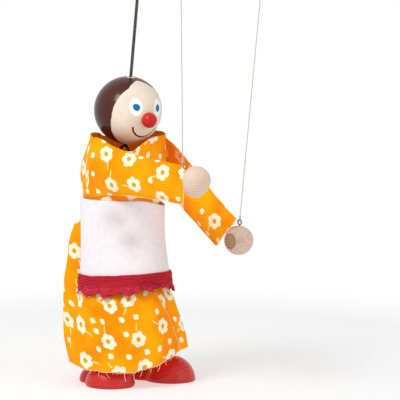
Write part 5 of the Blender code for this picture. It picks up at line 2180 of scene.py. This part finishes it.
    def build(self) -> None:
        """Make the apron, its band and its ruffle."""
        felt = Cloth("apron_felt", self.place, STAND.middle, 40, 150, wall=self.wall)
        made = felt.build(FELT.material, FELT.material)
        add_piece(made, "torso", "white_felt", "apron")
        braid, bright = BRAID.material, RUFFLE_BRAID.material
        band = Cloth("trim_band_braid", self.band_place, STAND.middle, 48, 260, wall=self.band_wall)
        ruffle = Cloth("trim_ruffle_braid", self.ruffle_place, STAND.middle, 14, 460, wall=0.4 * MM)
        strips = [band.build(braid, braid), ruffle.build(bright, bright)]
        add_piece(strips[0], "torso", "red_trim", "trim_band")
        add_piece(strips[1], "torso", "red_trim", "trim_ruffle")
        loop = add_piece(self.loose_loop(bright), "torso", "red_trim")
        stitch = Trimming(EdgeWork.STITCH, spacing=1.5 * MM, length=1.1 * MM, thickness=0.2 * MM, seed=2)
        row = [STAND.pushed(self.band_place(step / self.stitch_steps, self.stitch_row), self.stitch_lift)
               for step in range(self.stitch_steps + 1)]
        stitches = add_piece(stitch.build("trim_stitches", row, bright), "torso", "red_trim")
        fray = Trimming(EdgeWork.FRAY, spacing=0.5 * MM, length=3.2 * MM, thickness=0.12 * MM, seed=21)
        lower = Trimming(EdgeWork.FRAY, spacing=1.1 * MM, length=1.4 * MM, thickness=0.12 * MM, seed=31)
        lines = {side: band.edge(side, 40) + ruffle.edge(side, 30) for side in ("start", "end")}
        frays = [fray.build(f"trim_fray_{side}", line, bright) for side, line in lines.items()]
        frays.append(lower.build("trim_fray_lower", ruffle.edge("bottom", 460), bright))
        for threads in frays:
            add_piece(threads, "torso", "red_trim")


@dataclass(frozen=True)
class Lamp:
    """A soft square lamp, placed by its direction to the image's right, up and towards the camera."""

    name: str
    way: tuple[float, float, float]
    distance: float
    size: float
    power: float

    def build(self, middle: Vector, right: Vector, up: Vector, towards: Vector) -> None:
        """Add the lamp, which looks at the middle of the puppet.

        Args:
            middle: The middle of the puppet.
            right: The image's right.
            up: The image's up.
            towards: The direction to the camera.
        """
        way = (right * self.way[0] + up * self.way[1] + towards * self.way[2]).normalized()
        data = bpy.data.lights.new(self.name, "AREA")
        data.energy = self.power
        data.size = self.size
        lamp = bpy.data.objects.new(self.name, data)
        bpy.context.scene.collection.objects.link(lamp)
        lamp.location = middle + way * self.distance
        lamp.rotation_euler = way.to_track_quat("Z", "Y").to_euler()


@dataclass
class Studio:
    """The floor, the light and the camera."""

    azimuth: float = math.radians(-45.0)
    elevation: float = math.radians(8.0)
    distance: float = 3.0
    lens: float = 437.2
    aim_right: float = 44.5 * MM
    aim_height: float = 113.0 * MM
    sky: float = 0.62
    floor_colour: Colour = (0.90, 0.90, 0.905)
    floor_glow: float = 0.5
    floor_reach: float = 6.0
    fade_start: float = 0.32
    fade_end: float = 0.5
    light_height: float = 100.0 * MM
    lamps: Sequence[Lamp] = (Lamp("key", (-0.45, 0.66, 0.6), distance=0.95, size=0.36, power=5.4),
                             Lamp("fill", (0.8, 0.25, 0.55), distance=1.2, size=0.8, power=2.6))

    @property
    def towards(self) -> Vector:
        """Give the direction from the puppet to the camera.

        Returns:
            The direction, one unit long.
        """
        level = math.cos(self.elevation)
        return Vector((math.sin(self.azimuth) * level, -math.cos(self.azimuth) * level,
                       math.sin(self.elevation)))

    @property
    def right(self) -> Vector:
        """Give the image's right."""
        return Vector((math.cos(self.azimuth), math.sin(self.azimuth), 0.0))

    def build(self) -> None:
        """Make the camera, the light and the floor."""
        scene = bpy.context.scene
        scene.view_settings.view_transform = "Standard"
        aim = STAND.at(0.0, 0.0, self.aim_height) + self.right * self.aim_right
        data = bpy.data.cameras.new("camera")
        data.lens = self.lens
        data.sensor_width = 36.0
        camera = bpy.data.objects.new("camera", data)
        scene.collection.objects.link(camera)
        camera.location = aim + self.towards * self.distance
        camera.rotation_euler = self.towards.to_track_quat("Z", "Y").to_euler()
        scene.camera = camera
        up = self.towards.cross(self.right)
        middle = STAND.at(0.0, 0.0, self.light_height)
        for lamp in self.lamps:
            lamp.build(middle, self.right, up, self.towards)
        self.add_sky()
        self.add_floor()

    def add_sky(self) -> None:
        """Add the plain surrounding light, white where it is seen."""
        world = bpy.data.worlds.new("sky")
        bpy.context.scene.world = world
        world.use_nodes = True
        nodes = Nodes(world.node_tree)
        rays = {ray.socket.name: ray for ray in nodes.add("ShaderNodeLightPath", {}, {})}
        seen = rays["Is Camera Ray"].most(rays["Is Glossy Ray"]).most(rays["Is Transmission Ray"])
        level = nodes.node("ShaderNodeMapRange", {}, {"Value": seen, "To Min": self.sky, "To Max": 1.0})
        background = nodes.tree.nodes["Background"]
        nodes.put(background.inputs["Strength"], level)
        nodes.put(background.inputs["Color"], (1.0, 1.0, 1.0))

    def add_floor(self) -> None:
        """Add the pale floor, which fades to white away from the puppet."""
        mesh = bpy.data.meshes.new("floor")
        reach = self.floor_reach
        corners = [(x * reach, y * reach, STAND.floor) for x, y in ((-1, -1), (1, -1), (1, 1), (-1, 1))]
        mesh.from_pydata(corners, [], [(0, 1, 2, 3)])
        paint = Paint("floor")
        paint.base(0.7, specular=0.2)
        place = paint.place()
        cloud = paint.grain(place, 30.0, 2.0)
        shade = tuple(0.985 * part for part in self.floor_colour)
        paint.set("Base Color", paint.mix(cloud, self.floor_colour, shade))
        away = paint.vector("LENGTH", place, output="Value").step(self.fade_start, self.fade_end)
        away = away.most(self.floor_glow)
        white = paint.node("ShaderNodeEmission", {}, {"Color": (1.0, 1.0, 1.0), "Strength": 1.0})
        plain = Value(paint, paint.surface.outputs[0])
        mixed = paint.node("ShaderNodeMixShader", {}, {0: away, 1: plain, 2: white})
        paint.put(paint.tree.nodes["Material Output"].inputs["Surface"], mixed)
        as_object("floor", mesh, paint.material)


def main() -> None:
    """Build the studio and the puppet."""
    logging.basicConfig(level=logging.INFO, format="%(message)s")
    Studio().build()
    for side in Side:
        HandString(side).build()
        LimbCords(side).build()
    Control().dress()
    Head().build()
    for side in Side:
        Hand(side).build()
        Foot(side).build()
    dress = Dress()
    dress.build_bodice()
    for side in Side:
        dress.build_skirt(side)
        Sleeve(side, dress).build()
    Apron().build()


if __name__ == "__main__":
    main()
